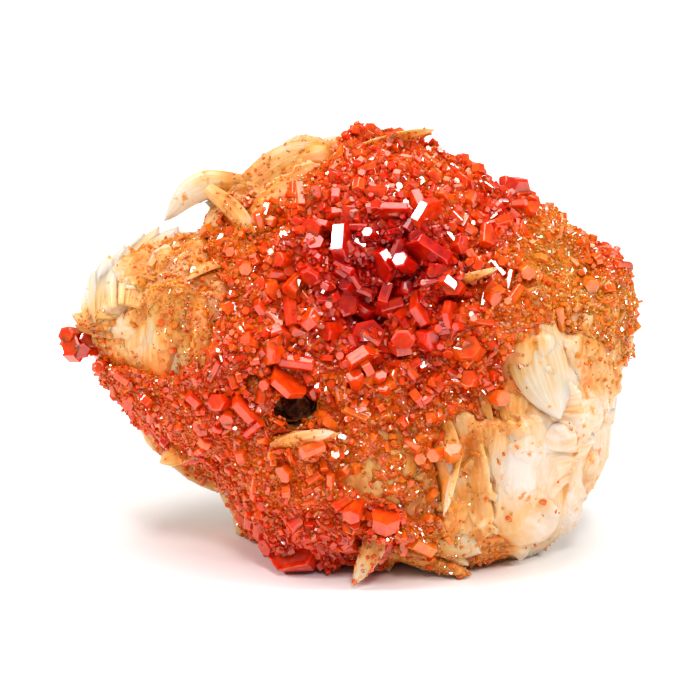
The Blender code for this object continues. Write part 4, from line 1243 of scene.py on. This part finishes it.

# %% [markdown]
# ## Large crystals
# The large tablets and prisms carry the specimen's look, so each is listed one by one: where it stands on the
# show face, its width over the corners and its length, the way its axis points, how far its middle stands
# off the rock, its turn, which at 0 puts a flat side uppermost, and how much longer that side is.

# %% Places of the large crystals
# ((across, up), width, length, (axis across, up, out), stand, turn in degrees, stretch)
CENTRE = (
    ((-4.6, 13.2), 2.7, 2.4, (0.00, 0.59, 0.81), 2.4, 10, 1.0),
    ((-4.7, 15.3), 2.8, 2.0, (-0.35, 0.05, 0.93), 2.4, 15, 1.0),
    ((6.9, 11.0), 2.3, 3.2, (-0.46, 0.30, 0.84), 4.6, 10, 1.0),
    ((6.8, 7.7), 2.0, 2.6, (0.42, 0.28, 0.86), 3.2, 20, 1.0),
    ((2.0, 1.8), 4.4, 2.2, (0.30, 0.08, 0.95), 2.2, 12, 1.0),
    ((7.0, 1.4), 3.0, 2.4, (-0.30, -0.12, 0.94), 3.0, 0, 1.0),
    ((9.6, 1.3), 2.6, 2.4, (0.60, -0.10, 0.79), 3.0, 20, 1.0),
    ((15.2, 0.1), 3.4, 2.4, (-0.35, 0.26, 0.90), 2.6, 0, 1.0),
    ((14.2, 3.8), 2.4, 2.0, (0.60, -0.10, 0.79), 2.4, 15, 1.0),
    ((15.4, -3.6), 2.4, 1.8, (-0.60, -0.05, 0.79), 2.2, 0, 1.0),
    ((0.7, -3.8), 2.2, 2.4, (-0.10, 0.57, 0.81), 2.4, 0, 1.0),
    ((3.7, -3.8), 1.7, 2.2, (0.12, 0.56, 0.82), 2.2, 20, 1.0),
    ((4.4, -5.0), 1.9, 2.0, (-0.25, 0.50, 0.83), 2.2, 0, 1.0),
    ((2.7, 14.6), 1.6, 2.4, (-0.46, 0.30, 0.84), 3.0, 0, 1.0),
    ((1.9, 9.2), 2.8, 1.2, (0.90, 0.10, 0.42), 2.0, 0, 1.0),
    ((0.0, 18.8), 1.6, 2.0, (0.10, 0.57, 0.81), 2.2, 0, 1.0),
    ((11.8, 20.6), 2.0, 2.2, (0.00, 0.59, 0.81), 2.0, 15, 1.0),
    ((-5.3, 9.8), 2.8, 0.7, (-0.40, -0.62, 0.67), 2.4, -40, 1.0),
    ((-5.0, 9.2), 2.8, 0.6, (-0.40, -0.62, 0.67), 3.2, -40, 1.0),
    ((-6.9, 8.2), 2.4, 3.0, (-0.55, -0.60, 0.58), 2.0, 0, 1.0),
    ((-7.4, 5.0), 1.9, 4.2, (0.12, -0.90, 0.42), 2.2, 0, 1.0),
    ((-3.8, 4.8), 2.4, 2.0, (0.20, 0.55, 0.81), 2.0, 10, 1.0),
    ((-1.0, 6.0), 3.6, 3.0, (0.50, -0.05, 0.86), 1.2, 15, 1.0),
    ((-2.4, 2.4), 2.6, 2.4, (-0.70, -0.05, 0.71), 2.0, 0, 1.0),
    ((13.2, 8.0), 2.8, 2.4, (-0.25, 0.10, 0.96), 2.2, 0, 1.0),
    ((17.8, 6.6), 2.2, 2.2, (0.60, -0.20, 0.77), 1.8, 10, 1.0),
    ((18.8, -6.0), 2.4, 2.0, (0.60, -0.10, 0.79), 1.8, 0, 1.0),
    ((-3.6, 20.4), 1.8, 2.6, (-0.60, -0.20, 0.77), 2.0, 0, 1.0),
    ((7.2, 20.8), 2.0, 2.0, (0.50, -0.30, 0.81), 2.0, 0, 1.0),
    ((8.6, 18.8), 2.2, 2.6, (0.30, -0.70, 0.64), 2.0, 15, 1.0),
    ((-0.6, 15.8), 2.2, 3.2, (-0.70, -0.40, 0.59), 2.0, 0, 1.0),
    ((13.6, 13.2), 2.6, 2.4, (0.75, 0.10, 0.65), 2.0, 0, 1.0),
    ((6.6, 4.4), 2.4, 2.8, (-0.60, -0.50, 0.62), 2.4, 15, 1.0),
    ((-8.6, 11.4), 2.2, 2.2, (-0.60, 0.10, 0.79), 1.8, 0, 1.0),
    ((-10.2, 7.6), 2.4, 2.0, (0.70, -0.10, 0.71), 1.8, 20, 1.0),
)
UPPER_RIGHT = (
    ((21.6, 20.6), 3.8, 1.8, (0.62, -0.20, 0.76), 1.4, 0, 1.0),
    ((18.8, 20.2), 2.6, 2.2, (-0.50, 0.20, 0.84), 1.8, 0, 1.0),
    ((17.4, 17.8), 3.0, 2.0, (-0.20, -0.50, 0.84), 1.8, 10, 1.0),
    ((18.8, 15.2), 2.8, 2.2, (0.40, -0.40, 0.82), 2.0, 0, 1.0),
    ((21.2, 17.8), 3.2, 2.0, (0.20, -0.55, 0.81), 2.0, 20, 1.0),
    ((24.0, 18.2), 1.9, 2.2, (0.60, -0.20, 0.77), 1.6, 0, 1.0),
    ((15.6, 20.0), 2.2, 2.0, (-0.10, 0.58, 0.81), 1.6, 0, 1.0),
)
ROUND_THE_HOLLOW = (
    ((-9.8, -0.4), 3.0, 2.0, (-0.65, -0.10, 0.75), 2.4, 10, 1.0),
    ((-9.0, 1.9), 2.6, 1.6, (0.30, -0.60, 0.74), 2.2, -30, 1.3),
    ((-16.4, -6.6), 2.6, 2.0, (-0.60, -0.05, 0.80), 2.0, 0, 1.0),
    ((-18.6, -9.6), 2.4, 2.0, (-0.50, -0.40, 0.77), 1.8, 10, 1.0),
    ((-4.4, -5.2), 2.4, 1.8, (0.40, -0.30, 0.87), 1.6, 0, 1.0),
    ((-3.4, -8.8), 2.0, 1.8, (0.30, -0.60, 0.74), 1.4, 0, 1.0),
)
BOTTOM = (
    ((-7.2, -25.3), 8.0, 2.6, (-0.34, 0.36, 0.87), 5.4, 12, 1.0),
    ((-2.6, -26.2), 3.8, 2.4, (0.40, 0.40, 0.83), 3.2, 0, 1.0),
    ((-10.4, -24.2), 3.4, 2.4, (-0.50, 0.30, 0.81), 2.6, 0, 1.0),
    ((4.5, -21.6), 4.0, 2.2, (0.06, 0.74, 0.67), 2.6, 30, 1.0),
    ((-8.6, -22.8), 2.6, 2.2, (-0.50, 0.10, 0.86), 1.4, 20, 1.0),
    ((-5.0, -22.2), 2.2, 2.6, (-0.10, 0.57, 0.82), 2.0, 0, 1.0),
    ((-0.4, -23.2), 2.2, 2.6, (-0.05, 0.58, 0.81), 1.8, 12, 1.0),
)
EDGES = (
    ((-6.4, 19.6), 1.8, 3.6, (0.10, -0.80, 0.60), 1.6, 0, 1.0),
    ((0.6, 27.4), 1.8, 1.8, (-0.30, -0.40, 0.86), 1.8, 0, 1.0),
    ((2.4, 28.2), 1.9, 2.2, (0.30, 0.50, 0.81), 1.4, 0, 1.0),
    ((5.0, 27.4), 1.8, 2.0, (0.40, -0.30, 0.86), 1.6, 20, 1.0),
    ((13.0, -13.0), 2.4, 1.8, (0.10, 0.56, 0.82), 2.0, 10, 1.0),
    ((11.0, -13.2), 1.9, 1.8, (-0.60, -0.20, 0.77), 1.8, 0, 1.0),
    ((-13.6, -21.6), 2.6, 2.0, (-0.50, -0.30, 0.80), 1.6, 0, 1.0),
    ((-11.6, -22.8), 2.2, 2.2, (-0.10, -0.40, 0.91), 1.8, 15, 1.0),
    ((-26.2, -7.2), 2.6, 2.0, (-0.40, -0.20, 0.89), 1.8, 0, 1.0),
    ((-24.4, -8.4), 2.4, 2.0, (0.30, -0.50, 0.81), 1.8, 20, 1.0),
    ((30.8, 8.4), 2.0, 1.8, (0.30, -0.30, 0.90), 1.6, 0, 1.0),
    ((32.6, 12.0), 2.0, 1.8, (0.60, -0.20, 0.77), 1.4, 0, 1.0),
)
LEFT_TIP = (
    ((-35.9, 0.2), 3.2, 2.6, (-0.30, 0.34, 0.89), 2.4, 0, 1.0),
    ((-36.2, 1.9), 2.4, 2.0, (-0.60, 0.10, 0.79), 2.4, 10, 1.0),
    ((-34.0, 1.4), 2.8, 2.4, (0.30, 0.10, 0.95), 2.2, 0, 1.0),
    ((-34.8, 0.2), 2.4, 2.0, (0.10, -0.40, 0.91), 2.8, 14, 1.0),
    ((-33.4, 0.4), 2.0, 1.8, (0.40, -0.50, 0.77), 2.0, 8, 1.0),
)
by_middle = (CENTRE, UPPER_RIGHT, ROUND_THE_HOLLOW, BOTTOM, EDGES)
print(sum(map(len, by_middle)), "crystals by their middle, and on the left tip", len(LEFT_TIP))

# %% [markdown]
# Many tablets turn their narrow side to the viewer: one sees a bright band, with the six-sided body going
# back from it into the crust. Such a one is easier to place by its band than by its middle, so these have a
# list of their own, and a few named ways that a band can face.

# %% Tablets seen on edge
# what each facing mirrors: the overhead lamp, the lamps at the sides and in front, or the pale table
FACING = {
    "top": (0.0, 0.56, 0.83),
    "left": (-0.46, 0.30, 0.84),
    "right": (0.44, 0.28, 0.85),
    "front": (0.0, 0.31, 0.95),
    "up right": (0.30, 0.50, 0.81),
    "up left": (-0.22, 0.42, 0.88),
    "down": (0.0, -0.50, 0.87),
    "down left": (-0.38, -0.38, 0.84),
    "down right": (0.34, -0.42, 0.84),
}
# (middle of the band: across, up), slope in degrees, facing, width and thickness of the tablet, stand
ON_EDGE = (
    ((10.7, 13.0), -36, "up right", 9.0, 1.6, 4.6),
    ((-1.7, 14.4), 94, "left", 6.4, 1.8, 4.8),
    ((4.8, 11.4), -57, "right", 5.6, 1.4, 4.6),
    ((4.5, 7.4), 74, "front", 5.4, 1.4, 4.6),
    ((8.7, 17.6), 60, "left", 5.0, 1.3, 4.4),
    ((5.5, 18.2), -2, "top", 7.4, 1.0, 3.8),
    ((-6.8, 8.1), 75, "left", 3.6, 0.8, 3.0),
    ((-5.2, 9.5), -35, "top", 3.2, 0.7, 3.0),
    ((8.6, 4.2), -61, "down left", 5.4, 1.2, 4.2),
    ((12.1, 3.6), -84, "down left", 4.2, 0.8, 4.0),
    ((15.2, 0.2), -20, "down", 4.4, 1.6, 3.4),
    ((0.9, -0.6), 34, "up left", 5.2, 1.6, 4.2),
    ((2.4, -2.6), -60, "down right", 3.0, 1.2, 3.4),
    ((-8.7, -4.9), -41, "down left", 5.6, 1.1, 3.8),
    ((-13.6, -8.0), -49, "down left", 6.0, 1.2, 3.4),
    ((-10.0, 0.6), 20, "down", 3.6, 1.2, 3.2),
    ((4.6, -23.3), 26, "down right", 5.0, 2.2, 3.4),
    ((-7.0, -26.9), -4, "down", 7.0, 2.0, 5.6),
    ((-1.6, 17.8), 8, "top", 3.0, 0.9, 3.4),
    ((-3.6, 16.2), -20, "up left", 3.0, 0.8, 3.2),
    ((1.6, 4.8), -28, "down left", 4.0, 1.6, 2.8),
    ((6.8, -0.2), 12, "down", 3.6, 1.4, 3.4),
    ((-0.8, 8.6), 50, "down left", 3.6, 1.6, 2.2),
    ((2.2, 9.0), -70, "down right", 3.8, 1.6, 2.2),
    ((12.8, 8.6), -30, "right", 3.4, 1.2, 3.2),
    ((11.6, 18.8), -40, "up right", 3.4, 1.2, 3.2),
    ((2.4, 21.2), 40, "left", 2.8, 1.0, 2.6),
    ((-11.4, 5.0), -62, "down left", 3.4, 1.0, 2.8),
    ((-6.4, 2.0), -30, "down", 3.4, 1.2, 2.8),
    ((-16.8, -2.6), 70, "down left", 3.2, 1.0, 2.6),
    ((-20.0, -6.6), -40, "down left", 3.4, 1.1, 2.6),
    ((9.0, -6.6), -50, "down right", 3.0, 1.1, 2.6),
    ((1.4, -7.4), 24, "top", 2.8, 1.0, 2.6),
    ((20.8, 19.6), 52, "left", 4.4, 1.3, 2.6),
    ((17.2, 17.0), -24, "down", 3.6, 1.3, 2.8),
    ((22.0, 16.6), -40, "down right", 3.2, 1.1, 2.4),
    ((-16.6, 14.4), 64, "left", 2.4, 0.7, 2.2),
    ((-10.8, 18.0), 82, "left", 3.0, 0.8, 2.4),
)
print(len(ON_EDGE), "tablets on edge")

# %% [markdown]
# A real crystal is not a perfect block: growth leaves a low step on its flat ends and blunts its edges, so
# each gets an inset step and a fine bevel.

# %% Making one large crystal
BLUNT = 0.014  # of the width, taken off each edge
HARD_EDGE = 0.6  # radians between two faces, above which the edge between them is blunted


def grown_crystal(width, length, centre, axis, turn, stretch, rng, level=None):
    """One large crystal in its place: blunt edges, and a low growth step on both flat ends."""
    bm = bmesh.new()
    level = level or UP.cross(axis).normalized()
    stand = Matrix((level.cross(axis), level, axis)).transposed().to_4x4()
    place = Matrix.Translation(centre) @ stand @ Matrix.Rotation(math.radians(turn), 4, "Z")
    six_sided(bm, width, length)
    squeeze = 1 + rng.uniform(-0.08, 0.08)
    bmesh.ops.scale(bm, vec=(squeeze, stretch / squeeze, 1.0), verts=bm.verts)
    ends = [f for f in bm.faces if len(f.verts) == 6]
    rim = width * rng.uniform(0.08, 0.14) * MM
    step = rng.choice((-1, 1)) * rng.uniform(0.03, 0.07) * MM * width / 3
    bmesh.ops.inset_region(bm, faces=ends, thickness=rim, depth=step)
    hard = [e for e in bm.edges if e.calc_face_angle(0.0) > HARD_EDGE]
    bmesh.ops.bevel(
        bm, geom=hard, offset=BLUNT * width * MM, affect="EDGES", segments=1, profile=0.5, material=-1
    )
    own_places = [tuple(v.co + Vector((centre.x, centre.z, 0.0)) * 9) for v in bm.verts]
    bmesh.ops.transform(bm, matrix=place, verts=bm.verts)
    bmesh.ops.recalc_face_normals(bm, faces=bm.faces)
    return bm, own_places


FLAT_REACH = 0.433  # from the middle of a six-sided tablet to its flat side, in widths over the corners


def on_edge(across, up, slope, facing, width, stand):
    """Where a tablet lies whose front band is there: its middle, its axis and the way along its band."""
    band = on_surface(rock_tree, across, up, stand)
    face = towards(*FACING[facing]).normalized()
    along = towards(math.cos(math.radians(slope)), math.sin(math.radians(slope)), 0.0)
    along = (along - face * along.dot(face)).normalized()
    return band - face * width * FLAT_REACH * MM, along.cross(face) * -1.0, along


print("one crystal can be made, and placed by its middle or by its band")

# %% [markdown]
# All the large crystals become one mesh, and the cluster on the left tip another, because cream baryte
# separates it from the crust. Each crystal takes its redness from its zone and a tint by chance.

# %% Planting the large crystals
REDDEST = 0.9  # no crystal is redder, because beyond that the ramp turns nearly black


def plant(name, groups, edges, seed):
    """All the crystals of those groups as one mesh, each with a redness and tint of its own."""
    rng = random.Random(seed)
    whole, tints, reds, inner = bmesh.new(), [], [], []
    crystals = [
        (width, length, on_surface(rock_tree, *spot, stand), towards(*way), turn, stretch, None)
        for rows in groups for spot, width, length, way, stand, turn, stretch in rows
    ]
    for spot, slope, facing, width, thickness, stand in edges:
        centre, axis, along = on_edge(*spot, slope, facing, width, stand)
        crystals.append((width, thickness, centre, axis, 0.0, 1.0, along))
    for width, length, centre, axis, turn, stretch, level in crystals:
        bm, own_places = grown_crystal(width, length, centre, axis, turn, stretch, rng, level)
        one = bpy.data.meshes.new("one")
        bm.to_mesh(one)
        whole.from_mesh(one)
        red = float(zone_fields([centre])[1][0])
        tints += [rng.uniform(0.1, 0.7)] * len(bm.verts)
        reds += [min(REDDEST, red + 0.04)] * len(bm.verts)
        inner += own_places
        bm.free()
        bpy.data.meshes.remove(one)
    made = piece_of(whole, name, tablet_red)
    keep_above_table(made)
    store(made, "tint", np.array(tints))
    store(made, "redness", np.array(reds))
    store(made, "own_place", np.array(inner))
    print(f"{name}: {triangles(made)} triangles")
    return made


tablets = plant("vanadinite_tablets", by_middle, ON_EDGE, 5)
tip = plant("vanadinite_tip", (LEFT_TIP,), (), 6)

# %% [markdown]
# ## Fixing the pieces to the part
# Every piece is told which body it moves with, and the imported solids that the lump, the bed and the left tip
# stand for are hidden.

# %% Fixing
for piece, solid in ((lump, "baryte_matrix"), (bed, "vanadinite_crust"), (tip, "vanadinite_left_tip")):
    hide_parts(solid)
strewn = (fine_druse, coarse_druse, sprinkle, dusting, loose, middle, stout)
pieces = (lump, leaves, back_leaves, bed, *strewn, tablets, tip)
for piece in pieces:
    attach(piece, "root")
print("all triangles:", sum(triangles(p) for p in pieces))

# %% [markdown]
# ## The table
# The specimen stands on a white sheet that runs up behind it, as in a small product studio. A flat strip is
# extruded from its front edge and then spun up through a quarter turn, so there is no corner to see.

# %% Table and backdrop
HALF_SHEET, FRONT_EDGE, FLAT_LENGTH, BEND = 3.0, -2.5, 4.5, 1.0  # metres
PAPER_WHITE = "#F6F6F6"


def white_sweep():
    """A white sheet on the table that curves up behind the specimen."""
    bm = bmesh.new()
    front = [bm.verts.new((x, FRONT_EDGE, 0.0)) for x in (-HALF_SHEET, HALF_SHEET)]
    edge = bm.edges.new(front)
    flat = bmesh.ops.extrude_edge_only(bm, edges=[edge])["geom"]
    far = [v for v in flat if isinstance(v, bmesh.types.BMVert)]
    bmesh.ops.translate(bm, vec=(0.0, FLAT_LENGTH, 0.0), verts=far)
    rim = [e for e in flat if isinstance(e, bmesh.types.BMEdge)]
    bmesh.ops.spin(
        bm, geom=rim, cent=(0.0, FRONT_EDGE + FLAT_LENGTH, BEND), axis=(1.0, 0.0, 0.0),
        angle=math.radians(90), steps=16, use_merge=False,
    )
    bmesh.ops.recalc_face_normals(bm, faces=bm.faces)
    paper = bpy.data.materials.new("white_paper")
    paper.use_nodes = True
    shader = paper.node_tree.nodes["Principled BSDF"]
    shader.inputs["Base Color"].default_value = linear(PAPER_WHITE)
    shader.inputs["Roughness"].default_value = 0.6
    shader.inputs["Specular IOR Level"].default_value = 0.2
    return piece_of(bm, "white_sweep", paper, smooth=True)


floor = white_sweep()
print("sheet of", 2 * HALF_SHEET, "m")

# %% [markdown]
# ## The light
# A very broad soft light overhead does most of the work, and two dim windows fill the shadows at the sides.
# Vanadinite mirrors so strongly that a bright room would turn every facet milky, so the surroundings stay
# dim, and three small strong lamps strike the white sparks.

# %% Lights
ROOM_LIGHT = 0.25
# (name, place and aim in metres, width, height, radiance)
LIGHTS = (
    ("overhead", (-0.06, 0.02, 1.0), (0.0, 0.0, 0.0), 1.0, 0.75, 3.3),
    ("window_left", (-1.15, -0.2, 0.8), (0.0, 0.0, 0.03), 0.6, 0.6, 1.0),
    ("window_right", (1.15, -0.25, 0.85), (0.0, 0.0, 0.03), 0.6, 0.6, 1.0),
    ("spark_left", (-1.0, -0.2, 0.75), (0.0, 0.0, 0.03), 0.25, 0.25, 26.0),
    ("spark_right", (0.95, -0.25, 0.8), (0.0, 0.0, 0.03), 0.25, 0.25, 24.0),
    ("spark_front", (0.15, -0.9, 1.0), (0.0, 0.0, 0.03), 0.25, 0.25, 28.0),
)


def softbox(name, place, aim, width, height, radiance):
    """A rectangular light whose face has that radiance."""
    lamp = bpy.data.lights.new(name, "AREA")
    lamp.shape = "RECTANGLE"
    lamp.size, lamp.size_y = width, height
    lamp.energy = radiance * math.pi * width * height
    holder = bpy.data.objects.new(name, lamp)
    holder.location = place
    holder.rotation_euler = (Vector(place) - Vector(aim)).to_track_quat("Z", "Y").to_euler()
    root.objects.link(holder)
    return holder


for row in LIGHTS:
    softbox(*row)
world = bpy.data.worlds.new("studio")
world.use_nodes = True
world.node_tree.nodes["Background"].inputs["Color"].default_value = linear("#FFFFFF")
world.node_tree.nodes["Background"].inputs["Strength"].default_value = ROOM_LIGHT
bpy.context.scene.world = world
bpy.context.scene.view_settings.view_transform = "Standard"
bpy.context.scene.view_settings.look = "Medium High Contrast"
print(len(LIGHTS), "lights")

# %% [markdown]
# ## The camera
# It looks straight at the leaning show face from 60 cm, and its lens is worked out from how much has to fit
# in the frame there.

# %% Camera
DISTANCE = 0.6  # m
FRAME_WIDTH = 91.0  # mm at the specimen
SENSOR = 36.0  # mm
camera = bpy.data.objects.new("camera", bpy.data.cameras.new("camera"))
camera.data.sensor_width = SENSOR
camera.data.lens = SENSOR / FRAME_WIDTH * DISTANCE / MM
camera.location = HEART + OUT * DISTANCE
camera.rotation_euler = (math.pi / 2 - LEAN, 0.0, 0.0)
root.objects.link(camera)
bpy.context.scene.camera = camera
print("camera", round(camera.data.lens, 1), "mm")
